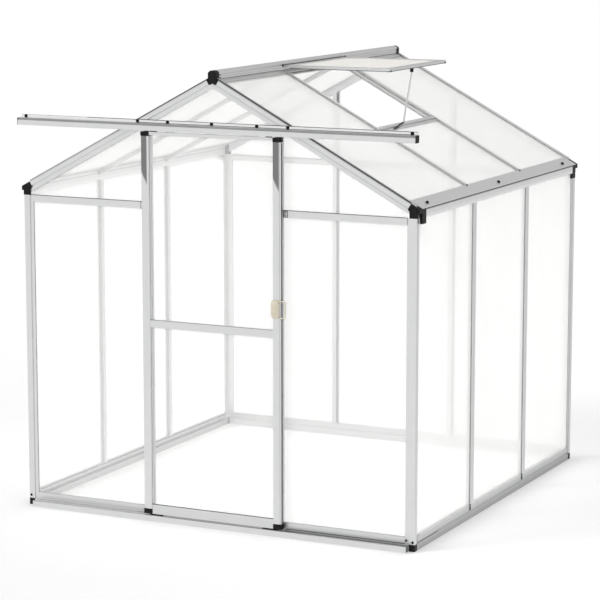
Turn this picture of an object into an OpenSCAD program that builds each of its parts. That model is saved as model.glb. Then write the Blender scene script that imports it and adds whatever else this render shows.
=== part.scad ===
// Polycarbonate greenhouse: aluminium extrusions glazed with twin-wall sheets, a sliding door hung
// from a track across the front gable, and a roof vent propped open on its stay.
// X runs along the front, Y from front to back, Z up. The origin is on the ground, below the middle.

/* [House] */
// Width over the corner posts
house_w = 1900; // [1500:10:2400]
// Depth over the corner posts
house_d = 1930; // [1500:10:2400]
// Height of the roof line where it passes over the outer faces of the side walls
eave_z = 1460; // [1350:5:1700]
// Rise of the roof line from the side walls to the middle
roof_rise = 508; // [430:2:620]
// Bays along each side wall and each roof slope
side_bays = 3; // [2:1:5]

/* [Extrusions] */
// Wall thickness of the extrusions
wall_t = 2; // [1.6:0.1:2.4]
// Depth of studs, tie rails and roof rafters, from outer face to inner flange
frame_d = 25; // [22:1:32]
// Width of a corner post's face on the front and back
post_face = 28; // [24:1:34]
// Width of a corner post's face on the side walls
post_side = 23; // [20:1:30]
// Reach of a corner post's glazing lips past its front face
post_lip = 17; // [14:1:20]
// Reach of a corner post's glazing lips past its side face
post_side_lip = 12; // [10:1:16]
// Face width of the studs and door jambs
stud_w = 35; // [30:1:44]
// Width of the inner flange of studs, tie rails and rafters
flange_w = 21; // [16:1:26]
// Face height of the gable tie rails
tie_h = 29; // [26:1:34]
// Drop of the underside of the gable tie rails below the roof line at the side walls
tie_drop = 74; // [60:2:180]
// Height of the gable rafters' raised edge above the roof line, square to the slope
rafter_up = 7; // [5:0.5:10]
// Width of the gable rafters' face below the roof line
rafter_face = 21; // [18:1:25]
// Height of the shadow groove under that face
rafter_groove = 4; // [3:0.5:6]
// Depth of the gable rafters below the roof line, with their lip over the gable sheets
rafter_h = 42; // [38:1:50]
// Width of the caps of the roof rafters between bays
rafter_w = 18; // [16:1:26]

/* [Base] */
// Height of the base rails' hollow foot
foot_h = 30; // [26:1:36]
// Depth of the base rails' foot
foot_d = 22; // [20:1:28]
// Height of the base rails with their glazing channel
base_h = 60; // [54:1:72]
// Height of the shadow groove between foot and channel
base_groove = 5; // [4:1:7]

/* [Glazing] */
// Thickness of the twin-wall sheets
sheet_t = 4; // [4:0.5:6]
// Depth of the wall sheets behind the outer faces of the frame
sheet_in = 6.5; // [6.2:0.1:8]
// Depth of the roof sheets below the roof line
roof_sheet_in = 2.5; // [2.5:0.1:4]
// Clearance between a sheet's face and the lip in front of it
sheet_gap = 0.5; // [0.2:0.1:0.9]
// Clearance between a sheet's edge and the floor of its channel
edge_gap = 2; // [1:0.5:3]
// Half width of the lips that a sheet rests on behind studs and rafters
lip_w = 12; // [10:1:15]

/* [Eaves] */
// Height of the eave beam's fascia and channels below the roof line
eave_drop = 45; // [40:1:60]
// Reach of the eave beam outside the corner posts
eave_out = 12; // [10:1:18]
// Reach of the eave beam's roof flashing inside the corner posts' outer faces
eave_wing = 45; // [38:1:60]
// Height of the shadow groove under the flashing
eave_groove = 4; // [3:1:6]
// Length of the black eave end caps along the side walls
eave_cap_l = 70; // [60:1:90]
// Length of the drop leg of an eave end cap, and its depth below the fascia
eave_leg = 40; // [30:1:50]
// Drop of the leg below the eave beam
eave_leg_drop = 25; // [15:1:35]
// Height of the end caps' arm above the underside of the eave beam
eave_arm_up = 20; // [12:1:26]
// Reach of the face plate past the post, outwards
plate_out = 2; // [1:0.5:4]
// Reach of the face plate's lower edge past the post, inwards
plate_in = 6; // [3:1:10]
// Height of the upright lower part of the face plate
plate_side_h = 26; // [20:1:30]
// Bevel that widens the face plate over the rafter
plate_bevel = 8; // [4:1:12]

/* [Ridge] */
// Width of the ridge beam
ridge_w = 42; // [36:1:50]
// Height of the ridge beam's top above the top of the roof line
ridge_up = 28; // [24:1:36]
// Reach of the ridge beam's glazing lips from the middle
ridge_lip = 46; // [40:1:56]
// Wall of the ridge beam, thick enough for its grooves
ridge_t = 3; // [2.6:0.1:3.4]
// Rounding of the ridge beam's crown
ridge_crown = 1.5; // [1:0.5:3]
// Grooves along each side of the ridge beam
ridge_grooves = 3; // [2:1:3]
// Spacing of the grooves
groove_pitch = 8; // [6:0.5:9]
// Width of a groove
groove_w = 3; // [2:0.5:4]
// Depth of the black ridge end caps along the ridge
ridge_cap_d = 23; // [23:1:60]
// Thickness of the end caps' face plates in front of the gables
cap_face_t = 1; // [0.6:0.1:1.4]
// Reach of the ridge caps' shoulders over the gable rafters
shoulder_out = 7; // [4:1:10]
// Height of the shoulders
shoulder_h = 8; // [5:1:10]
// Drop of the ridge caps' face plate below the ridge beam
plate_drop = 6; // [3:1:10]
// Width of the two feet under it
cap_foot_w = 11; // [6:1:12]
// Height of the feet
cap_foot_h = 5; // [3:1:8]

/* [Doorway and track] */
// Clear width between the door jambs
doorway_w = 599; // [500:1:700]
// Gap between the header rail behind the track and the gable rafters above its ends
header_gap = 1.5; // [1:0.5:10]
// Height of the door track's face
track_h = 31; // [29:1:40]
// Depth of the door track in front of the corner posts
track_d = 36; // [35:1:44]
// Height that the track's fixing flange stands above its top
track_flange = 14; // [10:1:16]
// Width of the slot along the underside of the track
track_slot = 10; // [10:1:14]
// Overhang of the track past the corner posts, each end
track_over = 5; // [0:1:15]
// Height of the floor guide along the front
guide_h = 28; // [24:1:30]
// Width of the floor guide's slot
guide_slot = 22; // [18:1:24]
// Distance of the floor guide's ends from the corner posts' side faces
guide_in = 25; // [20:1:40]

/* [Door] */
// Lap of the door over the frame at each side of the doorway
door_lap = 37.5; // [20:0.5:50]
// Thickness of the door
door_t = 21; // [20:1:22]
// Gap between the door's back and the front frame
door_gap = 6.5; // [5:0.5:7]
// Clearance above the floor guide and below the track
door_clear = 5; // [5:0.5:10]
// Width of the door's stiles
stile_w = 37; // [33:1:44]
// Width of the recessed step along the outer edge of a stile
stile_step = 7; // [5:1:9]
// Height of the door's top rail
top_rail_h = 13; // [12:1:20]
// Depth of the sheet's slot in the top rail
top_slot = 8; // [6:0.5:9]
// Height of the door's middle rail
mid_rail_h = 33; // [28:1:40]
// Height of the underside of the door's middle rail
mid_rail_z = 869; // [700:1:1000]
// Height of the door's bottom rail
bottom_rail_h = 42; // [36:1:52]
// Grooves along the faces of the bottom rail
bottom_ribs = 5; // [3:1:6]
// Depth of those grooves
rib_d = 1; // [0.6:0.2:1.4]
// Setback of the door's rails behind its stiles
rail_back = 2; // [1.5:0.5:3]
// Setback of the step along the outer edge of a stile
step_back = 3; // [2:0.5:4]
// Height of the black caps on the stiles' upper ends
top_cap_h = 12.5; // [8:0.5:20]
// Height of the black caps on their lower ends
low_cap_h = 22; // [14:1:30]
// Wall of the end caps
stile_cap_t = 1; // [0.8:0.1:1.5]
// Radius of the roller wheels in the track
wheel_r = 9; // [8:0.5:10]
// Width of a roller wheel
wheel_w = 7; // [6:0.5:8]
// Radius of the roller axles
axle_r = 2.5; // [2:0.25:3]
// Thickness of the roller hangers
hanger_t = 4; // [3:0.5:4]
// Width of the roller hangers
hanger_w = 30; // [24:1:40]
// Distance from the door's edge to the middle of a roller
roller_in = 60; // [50:1:100]
// Clearance between a wheel and the track it runs on
run_gap = 0.3; // [0.1:0.1:0.5]
// Clearance between a wheel and the edge of the track's slot
wheel_gap = 1; // [0.5:0.5:2]
// Length of a guide shoe under the door
shoe_w = 60; // [40:1:90]
// Clearance each side of a guide shoe in the floor guide
shoe_gap = 3; // [2:0.5:4]
// Depth of the guide shoes in the floor guide
shoe_dip = 18; // [12:1:20]

/* [Handle] */
// Height of the underside of the handle
handle_z = 955; // [925:1:1100]
// Height of the handle
handle_h = 79; // [60:1:110]
// Width of the handle's solid grip
grip_w = 34; // [28:1:40]
// Thickness of the solid grip
grip_t = 12; // [8:1:16]
// Width of the handle with its pull loop
loop_w = 72; // [64:1:84]
// Thickness of the loop's bar, seen from the front
loop_bar = 6; // [4:0.5:8]
// Depth of the loop from front to back
loop_t = 8; // [5:1:12]
// Radius of the grip's corners
handle_r = 10; // [6:0.5:12]
// Inset of the grip from the loop, all round
grip_in = 4; // [2:0.5:6]
// Reach of the handle over the door's glazing
handle_in = 8; // [4:1:12]

/* [Vent] */
// Reach of the vent's outer edge from the middle of the roof
vent_reach = 540; // [420:2:640]
// Depth of the vent's underside below the ridge beam's top
vent_below = 29; // [24:1:36]
// Thickness of the vent frame
vent_t = 12; // [9:1:16]
// Width of the vent frame's bars
vent_bar = 22; // [18:1:30]
// Overlap of the vent on the rafter at each side of its bay
vent_lap = 6; // [2:1:9]
// Horizontal distance of the sill's middle from the middle of the roof
sill_x = 490; // [380:2:600]
// Width of the sill, along the slope
sill_w = 34; // [26:1:44]
// Height of the sill's weather lip above the roof line
sill_up = 6; // [4:1:10]
// Radius of the stay's knob
knob_r = 8; // [6:0.5:10]
// Height of the stay's knob
knob_h = 22; // [16:1:28]
// Distance of the knob's middle from the vent's outer edge
knob_in = 34; // [28:1:50]
// Width of the stay's bar along the ridge direction
stay_w = 12; // [8:1:16]
// Thickness of the stay's bar
stay_t = 4; // [3:0.5:5]
// Reach of the stay's tail inside the sill, sideways and down
stay_tail = 40; // [30:1:55]

/* [Hidden] */
$fn = 48;

alloy = [0.80, 0.81, 0.82];
black = [0.06, 0.06, 0.065];
clear_white = [0.93, 0.94, 0.94, 0.6];
cream = [0.84, 0.80, 0.71];

hw = house_w / 2;
slope = atan(roof_rise / hw);
function line_z(x) = eave_z + roof_rise * (hw - abs(x)) / hw;

// height of the underside of a gable rafter at x
function gable_under(x) = line_z(x) - rafter_h / cos(slope);

apex_z = line_z(0);
ridge_top = apex_z + ridge_up;
handle_front = door_gap + door_t + max(grip_t, loop_t);
front_reach = max(track_d, handle_front);
y0 = -(house_d + cap_face_t - front_reach) / 2;

// places inside the frame's walls
lip_v = sheet_in - sheet_gap - wall_t;
back_v = sheet_in + sheet_t;
mid_slot = wall_t / 2 + edge_gap;
roof_lip_s = roof_sheet_in + sheet_t;
bay_y = house_d / side_bays;
jamb_x = (doorway_w + stud_w) / 2;
tie_z = eave_z - tie_drop;
header_z = gable_under(doorway_w / 2) - header_gap - tie_h;
track_z = header_z;
ridge_x = ridge_w / 2;
ridge_under = line_z(ridge_x) - (roof_lip_s + wall_t) / cos(slope) - 1;
ridge_h = ridge_top - ridge_under;
post_top = eave_z - eave_drop;
foot_sheet_z = foot_h + edge_gap;
gable_web_s = roof_lip_s + wall_t + sheet_in / 2;
sheet_s = gable_web_s + wall_t + edge_gap;
rafter_x1 = hw - back_v - wall_t;

// the track, the floor guide and the door between them
track_x = hw + track_over;
slot_y = -door_gap - door_t / 2;
door_z0 = guide_h + door_clear;
door_z1 = track_z - door_clear;
door_x = doorway_w / 2 + door_lap;
door_y0 = -door_gap - door_t;

// the vent
vent_z = ridge_top - vent_below;
vent_bay = floor(side_bays / 2);
vent_y0 = bay_y * vent_bay;
vent_mid = vent_y0 + bay_y / 2;
knob_x = vent_reach - knob_in;

// ---- helpers ----

// puts the house's front plane at its place behind the origin
module placed() {
    translate([0, y0, 0]) children();
}

// a copy at each side of the middle
module both_sides() {
    children();
    mirror([1, 0, 0]) children();
}

// a copy turned to the back wall
module to_back() {
    translate([0, house_d, 0]) mirror([0, 1, 0]) children();
}

// stands a profile of the front wall upright; its x runs along the wall and its y into the house
module upright(z0, z1) {
    translate([0, 0, z0]) linear_extrude(z1 - z0) children();
}

// lays a profile along X; its x runs into the house and its y up
module along_x(x0, x1) {
    translate([x0, 0, 0]) rotate([90, 0, 90]) linear_extrude(x1 - x0) children();
}

// lays a profile along Y; its x runs along X and its y up
module along_y(ya, yb) {
    translate([0, yb, 0]) rotate([90, 0, 0]) linear_extrude(yb - ya) children();
}

// lays a profile down the right slope between two plumb cuts; its x runs along Y, its y out of the roof
module down_slope(x0, x1) {
    intersection() {
        translate([0, 0, apex_z]) rotate([0, slope, 0]) rotate([90, 0, 90])
            linear_extrude(house_w) children();
        translate([x0, -house_d, 0]) cube([x1 - x0, 3 * house_d, 2 * ridge_top]);
    }
}

// puts a right side wall profile or piece, drawn as on the front wall, on the right side wall
module on_right() {
    translate([hw, 0, 0]) rotate([0, 0, 90]) children();
}

module rect(x0, x1, ya, yb) {
    translate([x0, ya]) square([x1 - x0, yb - ya]);
}

// ---- profiles ----

// one glazed leg of the corner post: face, return, glazing lip and the lip behind the sheet
module post_leg(face, lip) {
    rect(0, face, 0, wall_t);
    rect(face - wall_t, face, 0, back_v + wall_t);
    rect(face - wall_t, face + lip, lip_v, lip_v + wall_t);
    rect(back_v, face + lip, back_v, back_v + wall_t);
}

module post_profile() {
    post_leg(post_face, post_lip);
    mirror([1, -1]) post_leg(post_side, post_side_lip);
}

// stud, jamb or tie rail: hollow cap, web, lips behind the sheets, inner flange
module stud_profile(face) {
    difference() {
        rect(-face / 2, face / 2, 0, lip_v + wall_t);
        rect(-face / 2 + wall_t, face / 2 - wall_t, wall_t, lip_v);
    }
    rect(-wall_t / 2, wall_t / 2, lip_v, frame_d);
    rect(-lip_w, lip_w, back_v, back_v + wall_t);
    rect(-flange_w / 2, flange_w / 2, frame_d - wall_t, frame_d);
}

// roof rafter between two bays; y is 0 at the roof line
module rafter_profile() {
    rect(-rafter_w / 2, rafter_w / 2, -wall_t, 0);
    rect(-wall_t / 2, wall_t / 2, -frame_d, 0);
    rect(-lip_w, lip_w, -roof_lip_s - wall_t, -roof_lip_s);
    rect(-flange_w / 2, flange_w / 2, -frame_d, -frame_d + wall_t);
}

// gable rafter: raised edge over the roof sheets, face, shadow groove and lip over the gable sheets
module gable_profile() {
    groove_s = rafter_face + rafter_groove;
    groove_x = lip_v + wall_t;
    edge_x = back_v + lip_w;
    rect(0, wall_t, -rafter_face, rafter_up);
    rect(wall_t, groove_x, -rafter_face, -rafter_face + wall_t);
    rect(lip_v, groove_x, -groove_s, -rafter_face);
    rect(wall_t, groove_x, -groove_s - wall_t, -groove_s);
    rect(wall_t, 2 * wall_t, -rafter_h, -groove_s);
    rect(0, edge_x, rafter_up - wall_t, rafter_up);
    rect(edge_x - wall_t, edge_x, sheet_gap - roof_sheet_in, rafter_up);
    rect(back_v, back_v + wall_t, -rafter_h, rafter_up);
    rect(wall_t, back_v, -gable_web_s - wall_t, -gable_web_s);
    rect(back_v, edge_x, -roof_lip_s - wall_t, -roof_lip_s);
}

// hollow foot of the base rails
module foot_profile() {
    difference() {
        rect(0, foot_d, 0, foot_h);
        rect(wall_t, foot_d - wall_t, wall_t, foot_h - wall_t);
    }
}

// glazing channel that stands on the foot, with the shadow groove under its band
module channel_profile() {
    band_z = foot_h + base_groove;
    rect(lip_v, lip_v + wall_t, foot_h, band_z + wall_t);
    rect(wall_t, lip_v + wall_t, band_z, band_z + wall_t);
    rect(wall_t, 2 * wall_t, band_z, base_h);
    rect(back_v, back_v + wall_t, foot_h, base_h);
}

// eave beam; x is 0 at the side wall's outer face and runs outwards, y is 0 at the roof line there
module eave_profile() {
    t = tan(slope);
    wing_h = wall_t / cos(slope);
    fascia_y = -eave_out * t - eave_groove;
    rect(-lip_v - wall_t, -lip_v, -eave_drop, 0);
    rect(eave_out - wall_t, eave_out, -eave_drop, fascia_y);
    rect(-lip_v, eave_out, -eave_drop, -eave_drop + wall_t);
    rect(-lip_v, eave_out, fascia_y - wall_t, fascia_y);
    rect(eave_out - 3 * wall_t, eave_out - 2 * wall_t, fascia_y - wall_t, -(eave_out - 2 * wall_t) * t);
    rect(-back_v, -lip_v, -eave_drop / 2, -eave_drop / 2 + wall_t);
    rect(-back_v - wall_t, -back_v, -eave_drop, back_v * t);
    polygon([
        [eave_out, -eave_out * t], [eave_out, -eave_out * t + wing_h],
        [-eave_wing, eave_wing * t + wing_h], [-eave_wing, eave_wing * t]
    ]);
}

// half outline of the ridge beam, grown by g; y is 0 at its top
function ridge_half(g) = [
    [ridge_x + g, -ridge_h - g], [ridge_x + g, -ridge_x / 2],
    [ridge_x / 2, g - ridge_crown], [0, g]
];

function both_halves(p) = concat(p, [for (i = [len(p) - 1:-1:0]) if (p[i][0] > 0) [-p[i][0], p[i][1]]]);

module ridge_outline(g) {
    polygon(both_halves(ridge_half(g)));
}

module ridge_lips() {
    a = ridge_x - 0.75 * ridge_t;
    for (s = [0, roof_lip_s]) {
        h0 = s / cos(slope);
        h1 = (s + wall_t) / cos(slope);
        polygon([
            [a, line_z(a) - ridge_top - h0], [ridge_lip, line_z(ridge_lip) - ridge_top - h0],
            [ridge_lip, line_z(ridge_lip) - ridge_top - h1], [a, line_z(a) - ridge_top - h1]
        ]);
    }
}

module ridge_profile() {
    difference() {
        ridge_outline(0);
        ridge_outline(-ridge_t);
        for (k = [1:ridge_grooves], m = [0, 1]) mirror([m, 0])
            translate([ridge_x - ridge_t / 2, -ridge_x / 2 - k * groove_pitch]) square([ridge_t, groove_w]);
    }
}

// face plate of a ridge cap: house shape with shoulders on the rafters and two feet; y is 0 at its top
module ridge_cap_face() {
    shoulder_y = line_z(ridge_x) - ridge_top;
    low = -ridge_h - plate_drop;
    taper = cap_foot_w / 4;
    foot_x = ridge_x - taper - cap_foot_w;
    polygon(both_halves([
        [foot_x - taper, low], [foot_x, low - cap_foot_h], [foot_x + cap_foot_w, low - cap_foot_h],
        [ridge_x, low], [ridge_x + shoulder_out, shoulder_y - shoulder_h / 2],
        [ridge_x + shoulder_out, shoulder_y + shoulder_h / 4], [ridge_x, shoulder_y + shoulder_h / 2],
        [ridge_x, -ridge_x / 2], [ridge_x / 2, -ridge_crown], [0, 0]
    ]));
}

// ---- base ----

module base_front() color(alloy) placed() {
    along_x(-hw + post_face, hw - post_face) foot_profile();
    along_x(-hw + post_face + post_lip, hw - post_face - post_lip) channel_profile();
}

module base_back() color(alloy) placed() to_back() {
    along_x(-hw + post_face, hw - post_face) foot_profile();
    along_x(-hw + post_face + post_lip, hw - post_face - post_lip) channel_profile();
}

module side_base() {
    on_right() {
        along_x(post_face, house_d - post_face) foot_profile();
        along_x(post_side + post_side_lip, house_d - post_side - post_side_lip) channel_profile();
    }
}

module base_left() color(alloy) placed() mirror([1, 0, 0]) side_base();

module base_right() color(alloy) placed() side_base();

// black corner pieces that the posts stand on
module base_corners() color(black) placed() {
    for (corner = [0, 1]) translate([0, corner * house_d, 0]) mirror([0, corner, 0]) both_sides()
        translate([hw - post_face, 0, 0]) cube([post_face, post_face, foot_h]);
}

// open floor channel that the door's guide shoes run in
module door_guide() color(alloy) placed() {
    along_x(-hw + guide_in, hw - guide_in) {
        rect(-track_d, 0, 0, wall_t);
        rect(-track_d, -track_d + wall_t, 0, guide_h);
        rect(-wall_t, 0, 0, guide_h);
        rect(-track_d, slot_y - guide_slot / 2, guide_h - wall_t, guide_h);
        rect(slot_y + guide_slot / 2, 0, guide_h - wall_t, guide_h);
    }
}

// ---- posts, studs and rails ----

module post_pair() {
    both_sides() translate([-hw, 0, 0]) upright(foot_h, post_top) post_profile();
}

module corner_posts() color(alloy) placed() {
    post_pair();
    to_back() post_pair();
}

module side_studs() {
    for (k = [1:side_bays - 1]) on_right() translate([k * bay_y, 0, 0])
        upright(base_h, post_top) stud_profile(stud_w);
}

module studs_right() color(alloy) placed() side_studs();

module studs_left() color(alloy) placed() mirror([1, 0, 0]) side_studs();

// stud of an end wall, cut to the rafter above it
module end_stud() {
    intersection() {
        translate([jamb_x, 0, 0]) upright(base_h, apex_z) stud_profile(stud_w);
        along_y(-frame_d, 2 * frame_d) polygon([
            [0, 0], [hw, 0], [hw, gable_under(hw)], [0, gable_under(0)]
        ]);
    }
}

module door_jambs() color(alloy) placed() both_sides() end_stud();

module studs_back() color(alloy) placed() to_back() both_sides() end_stud();

// rail across an end wall with its underside at z
module cross_rail(x0, x1, z) {
    along_x(x0, x1) translate([0, z + tie_h / 2]) rotate(90) mirror([0, 1]) stud_profile(tie_h);
}

module outer_ties() {
    both_sides() cross_rail(jamb_x + stud_w / 2, hw - post_face - post_lip, tie_z);
}

// the front's middle rail is the header behind the door track
module tie_rails_front() color(alloy) placed() {
    outer_ties();
    cross_rail(-doorway_w / 2, doorway_w / 2, header_z);
}

module tie_rails_back() color(alloy) placed() to_back() {
    outer_ties();
    cross_rail(-doorway_w / 2, doorway_w / 2, tie_z);
}

// ---- roof ----

// pair of gable rafters, mitred at the middle and notched round the ridge beam's end
module gable_pair() {
    both_sides() difference() {
        down_slope(sheet_gap / 2, hw - post_face) gable_profile();
        translate([0, -house_d, ridge_under]) cube([ridge_x, 3 * house_d, ridge_h]);
    }
}

module gable_rafters_front() color(alloy) placed() gable_pair();

module gable_rafters_back() color(alloy) placed() to_back() gable_pair();

module rafters() {
    for (k = [1:side_bays - 1]) down_slope(ridge_lip, rafter_x1) translate([k * bay_y, 0]) rafter_profile();
}

module roof_rafters_right() color(alloy) placed() rafters();

module roof_rafters_left() color(alloy) placed() mirror([1, 0, 0]) rafters();

module ridge_beam() color(alloy) placed() translate([0, 0, ridge_top]) {
    along_y(ridge_cap_d, house_d - ridge_cap_d) ridge_profile();
    both_sides() along_y(ridge_cap_d, house_d - ridge_cap_d) ridge_lips();
}

// cup that closes the end of the ridge beam, with its face plate
module ridge_cap() {
    translate([0, 0, ridge_top]) {
        along_y(-cap_face_t, 0) ridge_cap_face();
        difference() {
            along_y(0, ridge_cap_d) ridge_outline(0);
            along_y(ridge_t, 2 * ridge_cap_d) ridge_outline(-ridge_t);
        }
    }
}

module ridge_caps() color(black) placed() {
    ridge_cap();
    to_back() ridge_cap();
}

module eave_beam() {
    difference() {
        translate([hw, 0, eave_z]) along_y(post_face, house_d - post_face) eave_profile();
        for (corner = [0, 1]) translate([0, corner * house_d, 0]) mirror([0, corner, 0])
            translate([hw, 0, 0]) cube([2 * eave_out, eave_cap_l, eave_z - eave_out * tan(slope)]);
    }
}

module eave_right() color(alloy) placed() eave_beam();

module eave_left() color(alloy) placed() mirror([1, 0, 0]) eave_beam();

// black cap that closes the corner under the roof: block over the post, arm and drop leg outside
module eave_cap() {
    t = tan(slope);
    out_z = eave_z - eave_out * t;
    arm_z = post_top + eave_arm_up;
    face_x = hw - post_face;
    along_y(0, back_v + wall_t) polygon([
        [face_x, line_z(face_x)], [hw + eave_out, out_z], [hw + eave_out, arm_z],
        [hw, arm_z], [hw, post_top], [face_x, post_top]
    ]);
    side_z = post_top + plate_side_h;
    in_x = face_x - plate_in;
    along_y(-cap_face_t, 0) polygon([
        [face_x, line_z(face_x)], [hw + plate_out, eave_z - plate_out * t], [hw + plate_out, post_top],
        [in_x, post_top], [in_x, side_z], [in_x - plate_bevel, side_z + 1.5 * plate_bevel]
    ]);
    translate([hw - lip_v - wall_t, 0, arm_z])
        cube([lip_v + wall_t + eave_out, post_face, out_z - arm_z]);
    translate([hw, 0, arm_z]) cube([eave_out, eave_cap_l, out_z - arm_z]);
    translate([hw, eave_cap_l - eave_leg, post_top - eave_leg_drop])
        cube([eave_out, eave_leg, eave_leg_drop + eave_arm_up]);
}

module eave_caps() color(black) placed() {
    both_sides() eave_cap();
    to_back() both_sides() eave_cap();
}

// ---- sheets ----

module wall_sheet(x0, x1, z0, z1) {
    translate([x0, sheet_in, z0]) cube([x1 - x0, sheet_t, z1 - z0]);
}

side_sheet_z1 = post_top + eave_drop / 2 - edge_gap;

module side_sheets() {
    for (k = [0:side_bays - 1]) on_right() wall_sheet(
        k == 0 ? post_side + edge_gap : k * bay_y + mid_slot,
        k == side_bays - 1 ? house_d - post_side - edge_gap : (k + 1) * bay_y - mid_slot,
        foot_sheet_z, side_sheet_z1);
}

module wall_sheets_right() color(clear_white) placed() side_sheets();

module wall_sheets_left() color(clear_white) placed() mirror([1, 0, 0]) side_sheets();

tie_mid = tie_z + tie_h / 2;

module outer_wall_sheets() {
    both_sides() wall_sheet(jamb_x + mid_slot, hw - post_face - edge_gap, foot_sheet_z, tie_mid - mid_slot);
}

module wall_sheets_front() color(clear_white) placed() outer_wall_sheets();

module wall_sheets_back() color(clear_white) placed() to_back() {
    outer_wall_sheets();
    wall_sheet(-jamb_x + mid_slot, jamb_x - mid_slot, foot_sheet_z, tie_mid - mid_slot);
}

// top edge of the gable sheets under the rafter at x
function gable_sheet_z(x) = line_z(x) - sheet_s / cos(slope);

// sheet of the gable beside the stud, and the one between the studs from z up
module outer_gable_sheet() {
    x0 = jamb_x + mid_slot;
    x1 = hw - post_face - post_lip - edge_gap;
    along_y(sheet_in, back_v) polygon([
        [x0, tie_mid + mid_slot], [x1, tie_mid + mid_slot], [x1, gable_sheet_z(x1)],
        [x0, gable_sheet_z(x0)]
    ]);
}

module mid_gable_sheet(z) {
    x1 = jamb_x - mid_slot;
    x0 = ridge_x + edge_gap;
    along_y(sheet_in, back_v) polygon(both_halves([
        [x1, z], [x1, gable_sheet_z(x1)], [x0, gable_sheet_z(x0)]
    ]));
}

module gable_sheets_front() color(clear_white) placed() {
    both_sides() outer_gable_sheet();
    mid_gable_sheet(header_z + tie_h / 2 + mid_slot);
}

module gable_sheets_back() color(clear_white) placed() to_back() {
    both_sides() outer_gable_sheet();
    mid_gable_sheet(tie_mid + mid_slot);
}

module roof_sheet(k, x0) {
    ya = k == 0 ? back_v + wall_t + edge_gap : k * bay_y + mid_slot;
    yb = k == side_bays - 1 ? house_d - back_v - wall_t - edge_gap : (k + 1) * bay_y - mid_slot;
    down_slope(x0, rafter_x1 - edge_gap) rect(ya, yb, -roof_lip_s, -roof_sheet_in);
}

ridge_sheet_x = (ridge_x + ridge_lip) / 2;

module roof_sheets_left() color(clear_white) placed() mirror([1, 0, 0])
    for (k = [0:side_bays - 1]) roof_sheet(k, ridge_sheet_x);

module roof_sheets_right() color(clear_white) placed()
    for (k = [0:side_bays - 1]) roof_sheet(k, k == vent_bay ? sill_x + mid_slot + edge_gap : ridge_sheet_x);

// ---- door track ----

module door_track() color(alloy) placed() along_x(-track_x, track_x) translate([0, track_z]) {
    rect(-track_d, -track_d + wall_t, 0, track_h);
    rect(-track_d, 0, track_h - wall_t, track_h);
    rect(-wall_t, 0, 0, track_h + track_flange);
    rect(-track_d, slot_y - track_slot / 2, 0, wall_t);
    rect(slot_y + track_slot / 2, 0, 0, wall_t);
}

module track_caps() color(black) placed() both_sides()
    translate([track_x, -track_d, track_z]) cube([wall_t, track_d, track_h]);

// ---- vent ----

module vent_frame() color(alloy) placed() {
    ya = vent_y0 + rafter_w / 2 - vent_lap;
    yb = vent_y0 + bay_y - rafter_w / 2 + vent_lap;
    xa = ridge_x;
    difference() {
        translate([xa, ya, vent_z]) cube([vent_reach - xa, yb - ya, vent_t]);
        translate([xa + vent_bar, ya + vent_bar, 0])
            cube([vent_reach - xa - 2 * vent_bar, yb - ya - 2 * vent_bar, 2 * ridge_top]);
        translate([xa + vent_bar / 2, ya + vent_bar / 2, vent_z + vent_t - wall_t - sheet_t - sheet_gap])
            cube([vent_reach - xa - vent_bar, yb - ya - vent_bar, sheet_t + sheet_gap]);
    }
}

module vent_sheet() color(clear_white) placed() {
    inset = vent_bar / 2 + edge_gap;
    ya = vent_y0 + rafter_w / 2 - vent_lap + inset;
    yb = vent_y0 + bay_y - rafter_w / 2 + vent_lap - inset;
    xa = ridge_x + inset;
    translate([xa, ya, vent_z + vent_t - wall_t - sheet_t - sheet_gap])
        cube([vent_reach - inset - xa, yb - ya, sheet_t]);
}

// bar across the bay that holds the lower sheet and carries the closed vent
module vent_sill() color(alloy) placed() {
    ya = vent_y0 + lip_w;
    yb = vent_y0 + bay_y - lip_w;
    translate([sill_x, 0, line_z(sill_x)]) rotate([0, slope, 0]) along_y(ya, yb) {
        rect(-sill_w / 2, sill_w / 2, -roof_lip_s - sheet_gap - wall_t, -roof_lip_s - sheet_gap);
        rect(-wall_t, 0, -roof_lip_s - sheet_gap, sill_up);
        rect(-wall_t, sill_w / 2, -wall_t, 0);
        rect(-sill_w / 2, 0, sill_up - wall_t, sill_up);
    }
}

// bracket under the vent's outer bar, with the round knob that clamps the stay
module vent_knob() color(black) placed() {
    bracket_x = knob_x - knob_r;
    translate([bracket_x, vent_mid - stay_w, vent_z - wall_t])
        cube([vent_reach - bracket_x, 2 * stay_w, wall_t]);
    translate([knob_x, vent_mid, vent_z - wall_t - knob_h]) cylinder(r = knob_r, h = knob_h);
}

// bar that runs from the knob to the sill, stands on it and turns down inside
module vent_stay() color(alloy) placed() {
    top_z = vent_z - wall_t - knob_h;
    foot_x = sill_x - sill_w / 2 - stay_t;
    foot_z = line_z(foot_x);
    half = stay_t / 2;
    along_y(vent_mid - stay_w / 2, vent_mid + stay_w / 2) polygon([
        [knob_x + half, top_z], [foot_x + half, foot_z + stay_w], [foot_x + half, foot_z],
        [foot_x + half - stay_tail, foot_z - stay_tail], [foot_x - half - stay_tail, foot_z - stay_tail],
        [foot_x - half, foot_z], [foot_x - half, foot_z + stay_w], [knob_x - half, top_z]
    ]);
}

// ---- door ----

// stile in plan; x is 0 at its inner edge, y is 0 at its front face
module stile_profile() {
    slot = (door_t - sheet_t) / 2;
    step_x = stile_w - stile_step;
    difference() {
        union() {
            rect(0, step_x, 0, door_t);
            rect(step_x - wall_t, stile_w, step_back, door_t);
        }
        rect(lip_w + wall_t, step_x - wall_t, wall_t, door_t - wall_t);
        rect(step_x - 2 * wall_t, stile_w - wall_t, step_back + wall_t, door_t - wall_t);
        rect(wall_t, lip_w, wall_t, slot - wall_t);
        rect(wall_t, lip_w, door_t - slot + wall_t, door_t - wall_t);
        rect(-wall_t, lip_w, slot - sheet_gap, door_t - slot);
    }
}

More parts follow.
